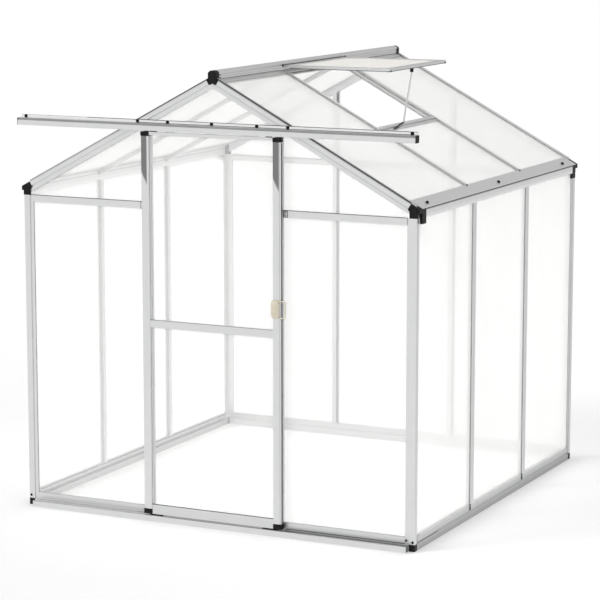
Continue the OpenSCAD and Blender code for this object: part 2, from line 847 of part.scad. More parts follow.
module door_stiles() color(alloy) placed() both_sides()
    translate([door_x - stile_w, door_y0, 0])
        upright(door_z0 + wall_t, door_z1 - wall_t) stile_profile();

// door rail of height h over z, with sheet slots of depths low and high; children are cut away
module door_rail(z, h, low, high) {
    t = door_t - 2 * rail_back;
    v = (t - sheet_t) / 2;
    hollow_z = low + wall_t;
    hollow_h = h - high - wall_t - hollow_z;
    along_x(-door_x + stile_w, door_x - stile_w) translate([door_y0 + rail_back, z]) difference() {
        rect(0, t, 0, h);
        if (hollow_h > wall_t) translate([wall_t, hollow_z]) square([t - 2 * wall_t, hollow_h]);
        if (low > 0) rect(v - sheet_gap, v + sheet_t, -wall_t, low);
        if (high > 0) rect(v - sheet_gap, v + sheet_t, h - high, h + wall_t);
        children();
    }
}

top_rail_z = door_z1 - top_rail_h;
rail_slot = lip_w - wall_t;

module door_top_rail() color(alloy) placed() door_rail(top_rail_z, top_rail_h, top_slot, 0);

module door_mid_rail() color(alloy) placed() door_rail(mid_rail_z, mid_rail_h, rail_slot, rail_slot);

// ribbed face below the lower sheet
module door_bottom_rail() color(alloy) placed() door_rail(door_z0, bottom_rail_h, 0, rail_slot) {
    pitch = (bottom_rail_h - 2 * wall_t) / (bottom_ribs + 1);
    for (k = [1:bottom_ribs]) translate([0, wall_t + k * pitch]) rect(-rib_d, rib_d, -pitch / 4, pitch / 4);
}

module door_sheet(z0, z1) {
    x1 = door_x - stile_w + lip_w - edge_gap;
    translate([-x1, door_y0 + (door_t - sheet_t) / 2, z0]) cube([2 * x1, sheet_t, z1 - z0]);
}

module door_sheets() color(clear_white) placed() {
    bite = rail_slot - edge_gap;
    door_sheet(door_z0 + bottom_rail_h - bite, mid_rail_z + bite);
    door_sheet(mid_rail_z + mid_rail_h - bite, top_rail_z + top_slot - edge_gap);
}

// black caps on the stiles' ends
module door_caps() color(black) placed() both_sides() {
    stile_cap(door_z0, low_cap_h, wall_t);
    stile_cap(door_z1 - top_cap_h, top_cap_h, -wall_t);
}

// cap of height h over z, with room for the stile moved up by floor_t and for the rails' ends
module stile_cap(z, h, floor_t) {
    cap = stile_cap_t;
    translate([door_x - stile_w, door_y0, z]) difference() {
        translate([-cap, -cap, 0]) cube([stile_w + 2 * cap, door_t + 2 * cap, h]);
        translate([0, 0, floor_t]) cube([stile_w, door_t, h]);
        translate([-2 * cap, rail_back, -cap]) cube([2 * cap + wall_t, door_t - 2 * rail_back, h + 2 * cap]);
    }
}

// hangers, wheels and axles above, guide shoes below
module door_rollers() color(black) placed() both_sides() {
    x = door_x - roller_in;
    axle_z = track_z + wall_t + run_gap + wheel_r;
    wheel_y = track_slot / 2 + wheel_gap;
    axle_l = wheel_y + wheel_w - hanger_t / 2;
    translate([x - hanger_w / 2, slot_y - hanger_t / 2, door_z1])
        cube([hanger_w, hanger_t, axle_z + axle_r + wall_t - door_z1]);
    for (side = [-1, 1]) translate([x, slot_y + side * (hanger_t + axle_l) / 2, axle_z])
        rotate([90, 0, 0]) cylinder(r = axle_r, h = axle_l, center = true);
    for (side = [-1, 1]) translate([x, slot_y + side * (wheel_y + wheel_w / 2), axle_z])
        rotate([90, 0, 0]) cylinder(r = wheel_r, h = wheel_w, center = true);
    translate([x - shoe_w / 2, slot_y - guide_slot / 2 + shoe_gap, guide_h - shoe_dip])
        cube([shoe_w, guide_slot - 2 * shoe_gap, shoe_dip + door_clear]);
}

// upright plate with round corners; its face is at y = 0 and it reaches forward by t
module round_plate(w, h, r, t) {
    rotate([90, 0, 0]) linear_extrude(t) {
        rect(r, w - r, 0, h);
        rect(0, w, r, h - r);
        for (x = [r, w - r], z = [r, h - r]) translate([x, z]) circle(r = r);
    }
}

// rounded grip on the stile's face with a pull loop standing out past the door's edge
module door_handle() color(cream) placed() {
    loop_r = handle_r + grip_in / 2;
    translate([door_x - stile_w - handle_in, door_y0, handle_z]) {
        translate([grip_in, 0, grip_in]) round_plate(grip_w, handle_h - 2 * grip_in, handle_r, grip_t);
        difference() {
            round_plate(loop_w, handle_h, loop_r, loop_t);
            translate([loop_bar, loop_t, loop_bar])
                round_plate(loop_w - 2 * loop_bar, handle_h - 2 * loop_bar, loop_r - grip_in, 3 * loop_t);
        }
    }
}

base_front();
base_back();
base_left();
base_right();
base_corners();
door_guide();
corner_posts();
studs_left();
studs_right();
studs_back();
door_jambs();
tie_rails_front();
tie_rails_back();
gable_rafters_front();
gable_rafters_back();
roof_rafters_left();
roof_rafters_right();
ridge_beam();
ridge_caps();
eave_left();
eave_right();
eave_caps();
wall_sheets_left();
wall_sheets_right();
wall_sheets_back();
wall_sheets_front();
gable_sheets_front();
gable_sheets_back();
roof_sheets_left();
roof_sheets_right();
door_track();
track_caps();
vent_frame();
vent_sheet();
vent_sill();
vent_knob();
vent_stay();
door_stiles();
door_top_rail();
door_mid_rail();
door_bottom_rail();
door_sheets();
door_caps();
door_rollers();
door_handle();
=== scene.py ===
import math

import bmesh
import bpy
from mathutils import Matrix, Vector


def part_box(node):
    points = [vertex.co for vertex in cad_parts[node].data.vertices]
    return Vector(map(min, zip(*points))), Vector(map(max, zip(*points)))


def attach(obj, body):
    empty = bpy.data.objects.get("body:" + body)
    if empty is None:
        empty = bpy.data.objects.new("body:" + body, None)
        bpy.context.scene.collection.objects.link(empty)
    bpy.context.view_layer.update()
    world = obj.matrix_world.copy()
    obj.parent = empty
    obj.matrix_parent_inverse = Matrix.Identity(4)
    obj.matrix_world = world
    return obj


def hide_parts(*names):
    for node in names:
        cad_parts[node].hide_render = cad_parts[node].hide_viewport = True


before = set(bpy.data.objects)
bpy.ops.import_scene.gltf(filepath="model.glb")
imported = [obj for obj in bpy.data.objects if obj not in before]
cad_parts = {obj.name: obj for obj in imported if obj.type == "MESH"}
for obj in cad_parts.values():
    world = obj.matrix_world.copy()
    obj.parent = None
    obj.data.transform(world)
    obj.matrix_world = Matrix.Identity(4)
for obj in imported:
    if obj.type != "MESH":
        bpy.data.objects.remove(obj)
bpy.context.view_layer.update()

# ---------------------------------------------------------------- places, metres

MM = 0.001
POSTS_LO, POSTS_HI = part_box("corner_posts")
TRACK_LO, TRACK_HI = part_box("door_track")
STILES_LO, STILES_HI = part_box("door_stiles")
FRONT_Y, BACK_Y = POSTS_LO.y, POSTS_HI.y
HALF_W = POSTS_HI.x
POST_SHORT = 0.045          # from the posts' tops up to the eave line
EAVE_Z = POSTS_HI.z + POST_SHORT
ROOF_RISE = 0.508
SLOPE = math.atan2(ROOF_RISE, HALF_W)
APEX_Z = EAVE_Z + ROOF_RISE
BAYS = 3
BAY = (BACK_Y - FRONT_Y) / BAYS
TIE_DROP = 0.074            # from the eave line down to the underside of the ties
TIE_H = 0.029
TIE_Z = EAVE_Z - TIE_DROP
POST_INNER_X = 0.905        # where the front rails meet the corner posts
JAMB_OUTER_X = 0.3345
GLIDE_END_X = 0.345         # where the pale strip of the floor guide ends
WALL_T = 2                  # wall of the extrusions, mm
SHEET_T = 0.004
SEAT = 0.0002               # how far a fitted strip is sunk into what carries it

RIGHT = Vector((1, 0, 0))
BACK = Vector((0, 1, 0))
UP = Vector((0, 0, 1))
DOWN_RIGHT = Vector((math.cos(SLOPE), 0, -math.sin(SLOPE)))
OUT_RIGHT = Vector((math.sin(SLOPE), 0, math.cos(SLOPE)))


def roof_z(x):
    """Height of the roof line at x."""
    return APEX_Z - ROOF_RISE * abs(x) / HALF_W


def slope_axes(side):
    """Directions down the roof slope and straight out of it; side is 1 on the right, -1 on the left."""
    return Vector((side * DOWN_RIGHT.x, 0, DOWN_RIGHT.z)), Vector((side * OUT_RIGHT.x, 0, OUT_RIGHT.z))


# ---------------------------------------------------------------- node helpers

class Tree:
    """Shorthand for building the nodes of a material or the world."""

    def __init__(self, owner, output):
        owner.use_nodes = True
        self.owner = owner
        self.nodes = owner.node_tree.nodes
        self.links = owner.node_tree.links
        self.nodes.clear()
        self.out = self.nodes.new("ShaderNodeOutput" + output)

    def add(self, kind, inputs=None, **settings):
        node = self.nodes.new("ShaderNode" + kind)
        for key, value in settings.items():
            setattr(node, key, value)
        for key, value in (inputs or {}).items():
            self.put(value, node.inputs[key])
        return node

    def put(self, value, socket):
        if isinstance(value, bpy.types.NodeSocket):
            self.links.new(value, socket)
        else:
            socket.default_value = value

    def surface(self, socket):
        self.links.new(socket, self.out.inputs["Surface"])

    def coords(self, scale):
        """Object coordinates, which are the shared frame in metres, scaled along each axis."""
        place = self.add("TexCoord").outputs["Object"]
        return self.add("Mapping", {"Vector": place, "Scale": scale}).outputs["Vector"]

    def noise(self, scale, size=1.0, detail=3.0, rough=0.55):
        node = self.add("TexNoise", {"Vector": self.coords(scale), "Scale": size, "Detail": detail,
                                     "Roughness": rough})
        return node.outputs["Fac"]

    def stops(self, fac, places, levels):
        """Colour ramp through these levels, greys or colours, at these places."""
        node = self.add("ValToRGB", {"Fac": fac})
        elements = node.color_ramp.elements
        while len(elements) < len(places):
            elements.new(0.5)
        for element, place, level in zip(elements, places, levels):
            element.position = place
            element.color = (*level, 1) if isinstance(level, tuple) else (level, level, level, 1)
        return node.outputs["Color"]

    def ramp(self, fac, low, high, start=0.3, end=0.7):
        return self.stops(fac, (start, end), (low, high))

    def math(self, operation, a, b=0.0, clamp=False):
        node = self.add("Math", operation=operation, use_clamp=clamp)
        self.put(a, node.inputs[0])
        self.put(b, node.inputs[1])
        return node.outputs[0]

    def bump(self, height, strength, distance):
        node = self.add("Bump", {"Height": height, "Strength": strength, "Distance": distance})
        return node.outputs["Normal"]


def new_material(name):
    """Node tree of a new material, which is its owner."""
    return Tree(bpy.data.materials.new(name), "Material")


# ---------------------------------------------------------------- materials

EVEN = (1, 1, 1)
SHEET_LIGHT = 0.6           # share of the sheets' haze that sunlight doesn't meet
# how fast the die lines change along each axis, for extrusions that run that way
ALONG = {"x": (3, 700, 700), "y": (700, 3, 700), "z": (700, 700, 3), "slope": (12, 700, 24)}


def alloy(direction, shade=None, low=(0.72, 0.725, 0.73), high=(0.79, 0.79, 0.79), metal=0.9, band=None,
          line=None):
    """Mill-finish extruded aluminium with die lines along its length and a faint cloudy oxide.

    shade is (z where it is light, z where it is dark, level): painted shade, a part coloured darker as
    if under an overhang or next to the ground. band is (first x, pitch, width, fall): the painted shade
    covers only upright bands of that width, and its end falls at a slant across each of them. line is
    (z, half its height, level): a painted shadow line, as under the drip edge of the eaves."""
    t = new_material("alloy_" + direction + ("_shaded" if shade else ""))
    lines = t.noise(ALONG[direction], 1.0, 2.0)
    cloud = t.noise(EVEN, 14.0, 4.0)
    spots = t.noise(EVEN, 160.0, 2.0)
    tone = t.math("ADD", t.math("MULTIPLY", lines, 0.7), t.math("MULTIPLY", cloud, 0.3))
    wear = t.math("ADD", t.math("MULTIPLY", lines, 0.6), t.math("MULTIPLY", spots, 0.4))
    color = t.ramp(tone, low, high, 0.35, 0.65)
    rough = t.ramp(wear, 0.34, 0.44, 0.35, 0.65)
    # painted shade: the colour is scaled down by height where shade falls
    if shade:
        light_z, dark_z, dark_level = shade
        place = t.add("SeparateXYZ", {0: t.add("TexCoord").outputs["Object"]}).outputs
        height = place["Z"]
        if band:
            first_x, pitch, width, fall = band
            across = t.math("FLOORED_MODULO", t.math("SUBTRACT", place["X"], first_x), pitch)
            height = t.math("ADD", height, t.math("MULTIPLY", across, fall))
        level = t.add("MapRange", {"Value": height, "From Min": light_z, "From Max": dark_z, "To Min": 1.0,
                                   "To Max": dark_level}, interpolation_type="SMOOTHSTEP").outputs[0]
        if band:
            level = t.math("MAXIMUM", level, t.math("GREATER_THAN", across, width))
        # painted shadow line, as under a drip edge
        if line:
            line_z, line_half, line_level = line
            off = t.math("ABSOLUTE", t.math("SUBTRACT", place["Z"], line_z))
            outside_shadow_line = t.math("MAXIMUM", t.math("GREATER_THAN", off, line_half), line_level)
            level = t.math("MULTIPLY", level, outside_shadow_line)
        color = t.add("VectorMath", {0: color, "Scale": level}, operation="SCALE").outputs[0]
    shader = t.add("BsdfPrincipled", {"Base Color": color, "Metallic": metal, "Roughness": rough,
                                      "Normal": t.bump(lines, 0.12, 0.0001)})
    t.surface(shader.outputs[0])
    return t.owner


def black_plastic():
    """Moulded black polypropylene with a fine grain and slightly worn, paler spots."""
    t = new_material("black_plastic")
    grain = t.noise(EVEN, 900.0, 2.0)
    wear = t.noise(EVEN, 45.0, 4.0)
    color = t.ramp(wear, (0.004, 0.004, 0.0045), (0.012, 0.012, 0.013), 0.4, 0.75)
    rough = t.ramp(grain, 0.42, 0.60)
    shader = t.add("BsdfPrincipled", {"Base Color": color, "Roughness": rough, "Specular IOR Level": 0.22,
                                      "Normal": t.bump(grain, 0.2, 0.0002)})
    t.surface(shader.outputs[0])
    return t.owner


def cream_plastic():
    """Moulded cream plastic of the handle."""
    t = new_material("cream_plastic")
    grain = t.noise(EVEN, 700.0, 2.0)
    cloud = t.noise(EVEN, 60.0, 3.0)
    color = t.ramp(cloud, (0.66, 0.60, 0.48), (0.72, 0.66, 0.54), 0.35, 0.7)
    rough = t.ramp(grain, 0.38, 0.52)
    shader = t.add("BsdfPrincipled", {"Base Color": color, "Roughness": rough,
                                      "Normal": t.bump(grain, 0.15, 0.0002)})
    t.surface(shader.outputs[0])
    return t.owner


def sheet_plastic(name, tint, cover, glance):
    """Polycarbonate skin: clear, with a white haze that grows at a glance and passes light on.

    cover is the haze seen square on, and glance what a flat view adds. Sunlight meets less of it."""
    t = new_material(name)
    haze = t.noise(EVEN, 5.0, 3.0)
    color = t.ramp(haze, tuple(0.985 * c for c in tint), tint, 0.35, 0.65)
    facing = t.add("LayerWeight", {"Blend": 0.5}).outputs["Facing"]
    white = t.math("ADD", t.math("MULTIPLY", facing, glance), cover)
    shadow = t.add("LightPath").outputs["Is Shadow Ray"]
    lit_by = t.math("SUBTRACT", 1.0, t.math("MULTIPLY", shadow, SHEET_LIGHT))
    rough = t.ramp(haze, 0.28, 0.30)
    skin = t.add("BsdfPrincipled", {"Base Color": color, "Roughness": rough, "IOR": 1.30})
    through = t.add("BsdfTranslucent", {"Color": color}).outputs[0]
    body = t.add("MixShader", {0: 0.5, 1: skin.outputs[0], 2: through}).outputs[0]
    clear = t.add("BsdfTransparent").outputs[0]
    share = t.math("MULTIPLY", white, lit_by, True)
    t.surface(t.add("MixShader", {0: share, 1: clear, 2: body}).outputs[0])
    return t.owner


def glide_nylon():
    """Pale glide strip of nylon, with a fine moulded grain."""
    t = new_material("glide_nylon")
    grain = t.noise(EVEN, 300.0, 3.0)
    color = t.ramp(grain, (0.66, 0.66, 0.65), (0.74, 0.74, 0.73))
    rough = t.ramp(grain, 0.45, 0.6)
    t.surface(t.add("BsdfPrincipled", {"Base Color": color, "Roughness": rough}).outputs[0])
    return t.owner


def rubber():
    """Dark grey glazing rubber."""
    t = new_material("rubber")
    grain = t.noise(EVEN, 400.0, 3.0)
    color = t.ramp(grain, (0.030, 0.030, 0.032), (0.055, 0.055, 0.057))
    rough = t.ramp(grain, 0.65, 0.8)
    t.surface(t.add("BsdfPrincipled", {"Base Color": color, "Roughness": rough}).outputs[0])
    return t.owner


STILE_W = 0.037

# painted shade and light on the frame, as alloy() takes them
# painted shadow of the track, darkening the upper front faces of the door stiles
STILE_SHADE = (1.543, 1.565, 0.30)
STILE_BANDS = (STILES_LO.x - 0.001, STILES_HI.x - STILE_W - STILES_LO.x, 0.0295, 1.9)
# painted shade: the side base rails coloured darker towards the ground
RAIL_SHADE = (0.056, 0.004, 0.58)
# painted light: the eave fascia coloured lighter towards its lower edge
EAVE_SHADE = (1.417, 1.434, 0.855)
# painted shadow under the drip edge of the eaves
EAVE_LINE = (1.4480, 0.0018, 0.50)

MAT = {key: alloy(key) for key in ALONG}
MAT["black"] = black_plastic()
MAT["cream"] = cream_plastic()
MAT["rubber"] = rubber()
MAT["wall"] = sheet_plastic("sheet_clear", (0.99, 0.99, 0.985), 0.17, 0.50)
MAT["roof"] = sheet_plastic("sheet_roof", (0.99, 0.99, 0.98), 0.23, 0.53)
# painted shade: the left slope's sheets are a darker copy of the roof sheets
MAT["roof_left"] = sheet_plastic("sheet_roof_left", (0.82, 0.82, 0.81), 0.34, 0.50)
MAT["vent"] = sheet_plastic("sheet_vent", (0.975, 0.96, 0.93), 0.30, 0.55)
MAT["flutes"] = sheet_plastic("sheet_flutes", (0.985, 0.985, 0.98), 0.02, 0.04)
# door stiles with the track's shadow painted on their upper fronts
MAT["stile"] = alloy("z", STILE_SHADE, band=STILE_BANDS)
# darker copy of the alloy for the side base rails, with painted shade towards the ground
MAT["shaded_base_rail"] = alloy("y", RAIL_SHADE, (0.60, 0.605, 0.61), (0.69, 0.69, 0.69))
# lighter copy of the alloy for the eave beams, with painted light on the fascia and a painted shadow line
MAT["eave"] = alloy("y", EAVE_SHADE, (0.93, 0.935, 0.94), (0.99, 0.99, 0.99), line=EAVE_LINE)
# lighter, less metallic copy of the alloy: a painted highlight along the track's flange
MAT["satin"] = alloy("x", None, (0.90, 0.90, 0.90), (0.96, 0.96, 0.96), 0.25)
MAT["glide"] = glide_nylon()

NODE_MATERIAL = {
    "x": ["base_front", "base_back", "door_guide", "tie_rails_front", "tie_rails_back", "door_track",
          "door_top_rail", "door_mid_rail", "door_bottom_rail"],
    "shaded_base_rail": ["base_left", "base_right"],
    "y": ["ridge_beam", "vent_sill", "vent_frame"],
    "eave": ["eave_left", "eave_right"],
    "z": ["corner_posts", "studs_left", "studs_right", "studs_back", "door_jambs", "vent_stay"],
    "stile": ["door_stiles"],
    "slope": ["gable_rafters_front", "gable_rafters_back", "roof_rafters_left", "roof_rafters_right"],
    "black": ["base_corners", "ridge_caps", "eave_caps", "track_caps", "vent_knob", "door_caps",
              "door_rollers"],
    "cream": ["door_handle"],
}
for material, names in NODE_MATERIAL.items():
    for name in names:
        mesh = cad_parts[name].data
        mesh.materials.clear()
        mesh.materials.append(MAT[material])


# ---------------------------------------------------------------- mesh helpers

MERGE = 1e-6                # vertices closer than this are one, m
SAME_POINT = 0.12           # outline points closer than this are one, mm
SHARPEST = 0.3              # how far a mitre may reach out at a tight corner


def new_object(name, bm, material, smooth_angle=None):
    """Turns the mesh into an object. smooth_angle, in degrees, shades it smooth up to that angle."""
    bmesh.ops.remove_doubles(bm, verts=bm.verts, dist=MERGE)
    bmesh.ops.recalc_face_normals(bm, faces=bm.faces)
    mesh = bpy.data.meshes.new(name)
    bm.to_mesh(mesh)
    bm.free()
    mesh.materials.append(MAT[material])
    if smooth_angle:
        mesh.shade_smooth()
        mesh.set_sharp_from_angle(angle=math.radians(smooth_angle))
    obj = bpy.data.objects.new(name, mesh)
    bpy.context.scene.collection.objects.link(obj)
    return obj


def add_piece(name, bm, material, body="house", replaces=(), smooth_angle=None):
    """Adds the mesh as a piece that rides on a body and stands for the CAD nodes it replaces."""
    obj = new_object(name, bm, material, smooth_angle)
    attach(obj, body)
    if replaces:
        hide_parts(*replaces)
    return obj


def join_rings(bm, rings, capped=True):
    """Walls between neighbouring rings of vertices, and a cap at each end."""
    for a, b in zip(rings, rings[1:]):
        for k in range(len(a)):
            j = (k + 1) % len(a)
            bm.faces.new((a[k], a[j], b[j], b[k]))
    if capped:
        bm.faces.new(rings[0])
        bm.faces.new(rings[-1])


def box_strip(bm, low, high):
    """Adds a slim closed strip between two corners."""
    corners = [Vector((x, y, z)) for x in (low[0], high[0]) for y in (low[1], high[1])
               for z in (low[2], high[2])]
    verts = [bm.verts.new(c) for c in corners]
    for face in ((0, 1, 3, 2), (4, 6, 7, 5), (0, 4, 5, 1), (2, 3, 7, 6), (0, 2, 6, 4), (1, 5, 7, 3)):
        bm.faces.new([verts[i] for i in face])


def side_strip(bm, side, low, high):
    """The same strip with its corners given for the right side; side is 1 on the right, -1 on the left."""
    x0, x1 = sorted((side * low[0], side * high[0]))
    box_strip(bm, (x0, *low[1:]), (x1, *high[1:]))


def rounded(points, steps=6):
    """Points (x, y) or (x, y, radius) of a path in mm, with arcs at the corners that have a radius."""
    path = []
    for i, point in enumerate(points):
        here = Vector(point[:2])
        if len(point) < 3 or i in (0, len(points) - 1):
            path.append(here)
            continue
        before = (Vector(points[i - 1][:2]) - here).normalized()
        after = (Vector(points[i + 1][:2]) - here).normalized()
        half = before.angle(after) / 2
        reach = point[2] / math.tan(half)
        centre = here + (before + after).normalized() * (point[2] / math.sin(half))
        start, end = here + before * reach - centre, here + after * reach - centre
        turn = math.atan2(start.x * end.y - start.y * end.x, start.dot(end))
        for k in range(steps + 1):
            path.append(centre + Matrix.Rotation(turn * k / steps, 2) @ start)
    return path


def ribbon(points, thick):
    """Closed outline of a wall of that thickness along a path in mm, without the knots of points that
    form inside a tight corner."""
    path = rounded(points)
    left, right = [], []
    for i, here in enumerate(path):
        a = (here - path[i - 1]).normalized() if i else None
        b = (path[i + 1] - here).normalized() if i < len(path) - 1 else None
        a, b = a or b, b or a
        along = (a + b).normalized()
        reach = thick / 2 / max(SHARPEST, along.dot(a))
        side = Vector((-along.y, along.x)) * reach
        left.append(here + side)
        right.append(here - side)
    outline = []
    for point in left + right[::-1]:
        if not outline or (point - outline[-1]).length > SAME_POINT:
            outline.append(point)
    return outline


def extrude(bm, outline, place, start, end):
    """Adds the outline, in mm, as a prism. place(x, y, t) gives the 3-D point; start and end are t,
    or functions of the outline's x and y for ends that are cut at a slope."""
    def value(t, p):
        return t(p.x, p.y) if callable(t) else t
    low = [bm.verts.new(place(p.x * MM, p.y * MM, value(start, p))) for p in outline]
    high = [bm.verts.new(place(p.x * MM, p.y * MM, value(end, p))) for p in outline]
    join_rings(bm, (low, high), capped=False)
    for ring in (low, high):
        edges = [bm.edges.get(pair) for pair in zip(ring, ring[1:] + ring[:1])]
        bmesh.ops.triangle_fill(bm, edges=edges, use_beauty=False)


def profile(name, outlines, place, start, end, material, slot, replaces=(), angle=40):
    """Adds a piece of the house from outlines in mm that all run from start to end."""
    bm = bmesh.new()
    for outline in outlines:
        extrude(bm, outline, place, start, end)
    add_piece(name, bm, material, "house", replaces, angle)


def along_front(foot_z):
    """Places a profile along the front: x mm behind the posts' face, y mm above foot_z, t to the right."""
    return lambda x, y, t: Vector((t, FRONT_Y + x, foot_z + y))


def rectangle(x0, x1, y0, y1):
    return [Vector((x0, y0)), Vector((x1, y0)), Vector((x1, y1)), Vector((x0, y1))]


def circle(x, y, r, steps=16):
    return [Vector((x + r * math.cos(k * math.tau / steps), y + r * math.sin(k * math.tau / steps)))
            for k in range(steps)]


# ---------------------------------------------------------------- twin-wall sheets

RIB_PITCH = 0.0100
RIB_T = 0.0004
SKIN_T = 0.0005
AT_SIDE = 1e-4              # outline points nearer to a sheet's side than this are on it, m


def twin_wall(bm, origin, across, along, out, width, low, high):
    """Adds one twin-wall sheet. Its flutes run along `along` between low(u) and high(u)."""
    cells = max(1, round((width - RIB_T) / RIB_PITCH))
    pitch = (width - RIB_T) / cells
    lines = []
    for k in range(cells + 1):
        lines += [k * pitch, k * pitch + RIB_T]
    layers = [0.0, SKIN_T, SHEET_T - SKIN_T, SHEET_T]
    grid = {}
    for i, u in enumerate(lines):
        for j, w in enumerate(layers):
            for end, edge in enumerate((low(u), high(u))):
                place = origin + across * u + along * edge + out * w
                grid[i, j, end] = bm.verts.new(place)

    def quad(*keys):
        face = bm.faces.new([grid[key] for key in keys])
        face.material_index = 1 if any(0 < key[1] < 3 for key in keys) else 0

    def strip(a, b):
        quad((*a, 0), (*b, 0), (*b, 1), (*a, 1))

    last = len(lines) - 1
    for i in range(last):
        strip((i, 0), (i + 1, 0))
        strip((i, 3), (i + 1, 3))
        rib = i % 2 == 0
        if not rib:
            strip((i, 1), (i + 1, 1))
            strip((i, 2), (i + 1, 2))
            strip((i, 1), (i, 2))
            strip((i + 1, 1), (i + 1, 2))
        for end in (0, 1):
            for j in ((0, 1, 2) if rib else (0, 2)):
                quad((i, j, end), (i + 1, j, end), (i + 1, j + 1, end), (i, j + 1, end))
    for j in range(3):
        strip((0, j), (0, j + 1))
        strip((last, j), (last, j + 1))


def solids_of(node):
    """Vertex lists of the separate solids of a CAD node."""
    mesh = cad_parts[node].data
    bm = bmesh.new()
    bm.from_mesh(mesh)
    bmesh.ops.remove_doubles(bm, verts=bm.verts, dist=MERGE)
    seen, groups = set(), []
    for start in bm.verts:
        if start in seen:
            continue
        stack, group = [start], []
        seen.add(start)
        while stack:
            vert = stack.pop()
            group.append(vert.co.copy())
            for edge in vert.link_edges:
                other = edge.other_vert(vert)
                if other not in seen:
                    seen.add(other)
                    stack.append(other)
        groups.append(group)
    bm.free()
    return groups


def edges_of(points, width):
    """Lower and upper edge of a sheet over its width, also where two points of a side share one u."""
    left = [v for u, v in points if u < AT_SIDE]
    right = [v for u, v in points if u > width - AT_SIDE]
    inner = [(u, v) for u, v in points if AT_SIDE <= u <= width - AT_SIDE]
    middle = (min(v for u, v in points) + max(v for u, v in points)) / 2
    low_pts = [(0.0, min(left)), (width, min(right))] + [p for p in inner if p[1] < middle]
    high_pts = [(0.0, max(left)), (width, max(right))] + [p for p in inner if p[1] >= middle]

    def reader(pts):
        def value(u):
            u = min(max(u, 0.0), width)
            for (ax, ay), (bx, by) in zip(pts, pts[1:]):
                if u <= bx:
                    return ay if bx == ax else ay + (by - ay) * (u - ax) / (bx - ax)
            return pts[-1][1]
        return value

    return reader(sorted(low_pts)), reader(sorted(high_pts))


def dress_sheets(node, across, along, material, body="house"):
    """Replaces the plain sheets of a CAD node by twin-wall ones of the same outline."""
    out = across.cross(along).normalized()
    bm = bmesh.new()
    for group in solids_of(node):
        us = [round(p.dot(across), 5) for p in group]
        vs = [round(p.dot(along), 5) for p in group]
        ws = [p.dot(out) for p in group]
        u0, width = min(us), max(us) - min(us)
        points = [(round(u - u0, 5), v) for u, v in zip(us, vs)]
        low, high = edges_of(points, width)
        twin_wall(bm, across * u0 + out * min(ws), across, along, out, width, low, high)
    obj = add_piece("twinwall_" + node, bm, material, body, (node,))
    obj.data.materials.append(MAT["flutes"])
    return obj


for node in ("wall_sheets_front", "wall_sheets_back", "gable_sheets_front", "gable_sheets_back"):
    dress_sheets(node, RIGHT, UP, "wall")
dress_sheets("wall_sheets_left", BACK, UP, "wall")
dress_sheets("wall_sheets_right", BACK, UP, "wall")
dress_sheets("door_sheets", RIGHT, UP, "wall", "door")
dress_sheets("roof_sheets_right", BACK, slope_axes(1)[0], "roof")
dress_sheets("roof_sheets_left", BACK, slope_axes(-1)[0], "roof_left")
dress_sheets("vent_sheet", BACK, RIGHT, "vent")


# ---------------------------------------------------------------- door track

def track_rail():
    """C-shaped runner with a rounded upper edge and a beaded flange that is bolted to the front."""
    place = along_front(TRACK_LO.z)
    span = (TRACK_LO.x, TRACK_HI.x)
    flange = rectangle(-2, 0, 31, 43.6)
    runner = [ribbon([(-22, 1), (-35, 1, 2), (-35, 22, 1), (-27, 30, 1), (-1, 30)], WALL_T),
              ribbon([(-12, 1), (-1, 1, 2), (-1, 31)], WALL_T), circle(-1.2, 43.8, 1.2)]
    # the flange takes the lighter alloy, a painted highlight
    profile("track_flange", [flange], place, *span, "satin", "alloy")
    profile("track_rail", runner, place, *span, "x", "alloy", ("door_track",))


track_rail()


# ---------------------------------------------------------------- gable rafters

RAFTER_END_X = HALF_W - 0.028
UNDER_CAP = 0.0215          # how far the ridge caps cover the rafters' upper ends
SKIRT_GAP = 0.0003          # between the two rafters' skirts at the apex
UPPER_GASKET_END = 0.372    # the front left upper gasket stops where the track crosses it


def slope_cut(x_end):
    """Distance down the slope at which a line of a roof profile meets the plumb cut at x_end."""
    return lambda x, y: (x_end - OUT_RIGHT.x * y * MM) / DOWN_RIGHT.x


def gable_rafter(bm, gaskets, side, y_face, inward):
    """Adds one gable rafter with a rounded raised edge and its gaskets, which also stand in for a band of
    shade along that edge; side is 1 on the right.
    """
    down, out = slope_axes(side)
    apex = Vector((0, y_face, APEX_Z))

    def place(x, y, t):
        return apex + BACK * (inward * x) + out * y + down * t

    top, low = slope_cut(UNDER_CAP), slope_cut(RAFTER_END_X)
    crest = [(4.9, -20), (1, -20, 1), (1, -1.5, 1), (8.5, 6, 1), (13.4, 6, 1), (13.4, -1.5)]
    skirt = [(5, -19), (5, -26), (3, -26), (3, -42)]
    extrude(bm, ribbon(crest, WALL_T), place, top, low)
    extrude(bm, ribbon(skirt, WALL_T), place, slope_cut(SKIRT_GAP), low)
    for web in ([(11.5, -42), (11.5, 5.5)], [(2, -12.75), (11, -12.75)], [(12, -7.5), (22.5, -7.5)]):
        extrude(bm, ribbon(web, WALL_T), place, top, low)
    crossed = side < 0 and inward > 0
    # dark gaskets, which also stand in for the band of shade along the rafter's upper edge
    extrude(gaskets, ribbon([(2.5, 1.6), (5.6, 4.7)], 1.2), place, top,
            slope_cut(UPPER_GASKET_END) if crossed else low)
    lower = [Vector((14.2, -2.4)), Vector((15.9, -2.4)), Vector((14.2, -0.4))]
    extrude(gaskets, lower, place, top, low)


def gable_rafters(name, y_face, inward):
    """Both rafters of one gable; inward is 1 at the front and -1 at the back."""
    bm, gaskets = bmesh.new(), bmesh.new()
    for side in (1, -1):
        gable_rafter(bm, gaskets, side, y_face, inward)
    add_piece(name + "_dressed", bm, "slope", "house", (name,), 40)
    add_piece(name + "_gaskets", gaskets, "rubber")


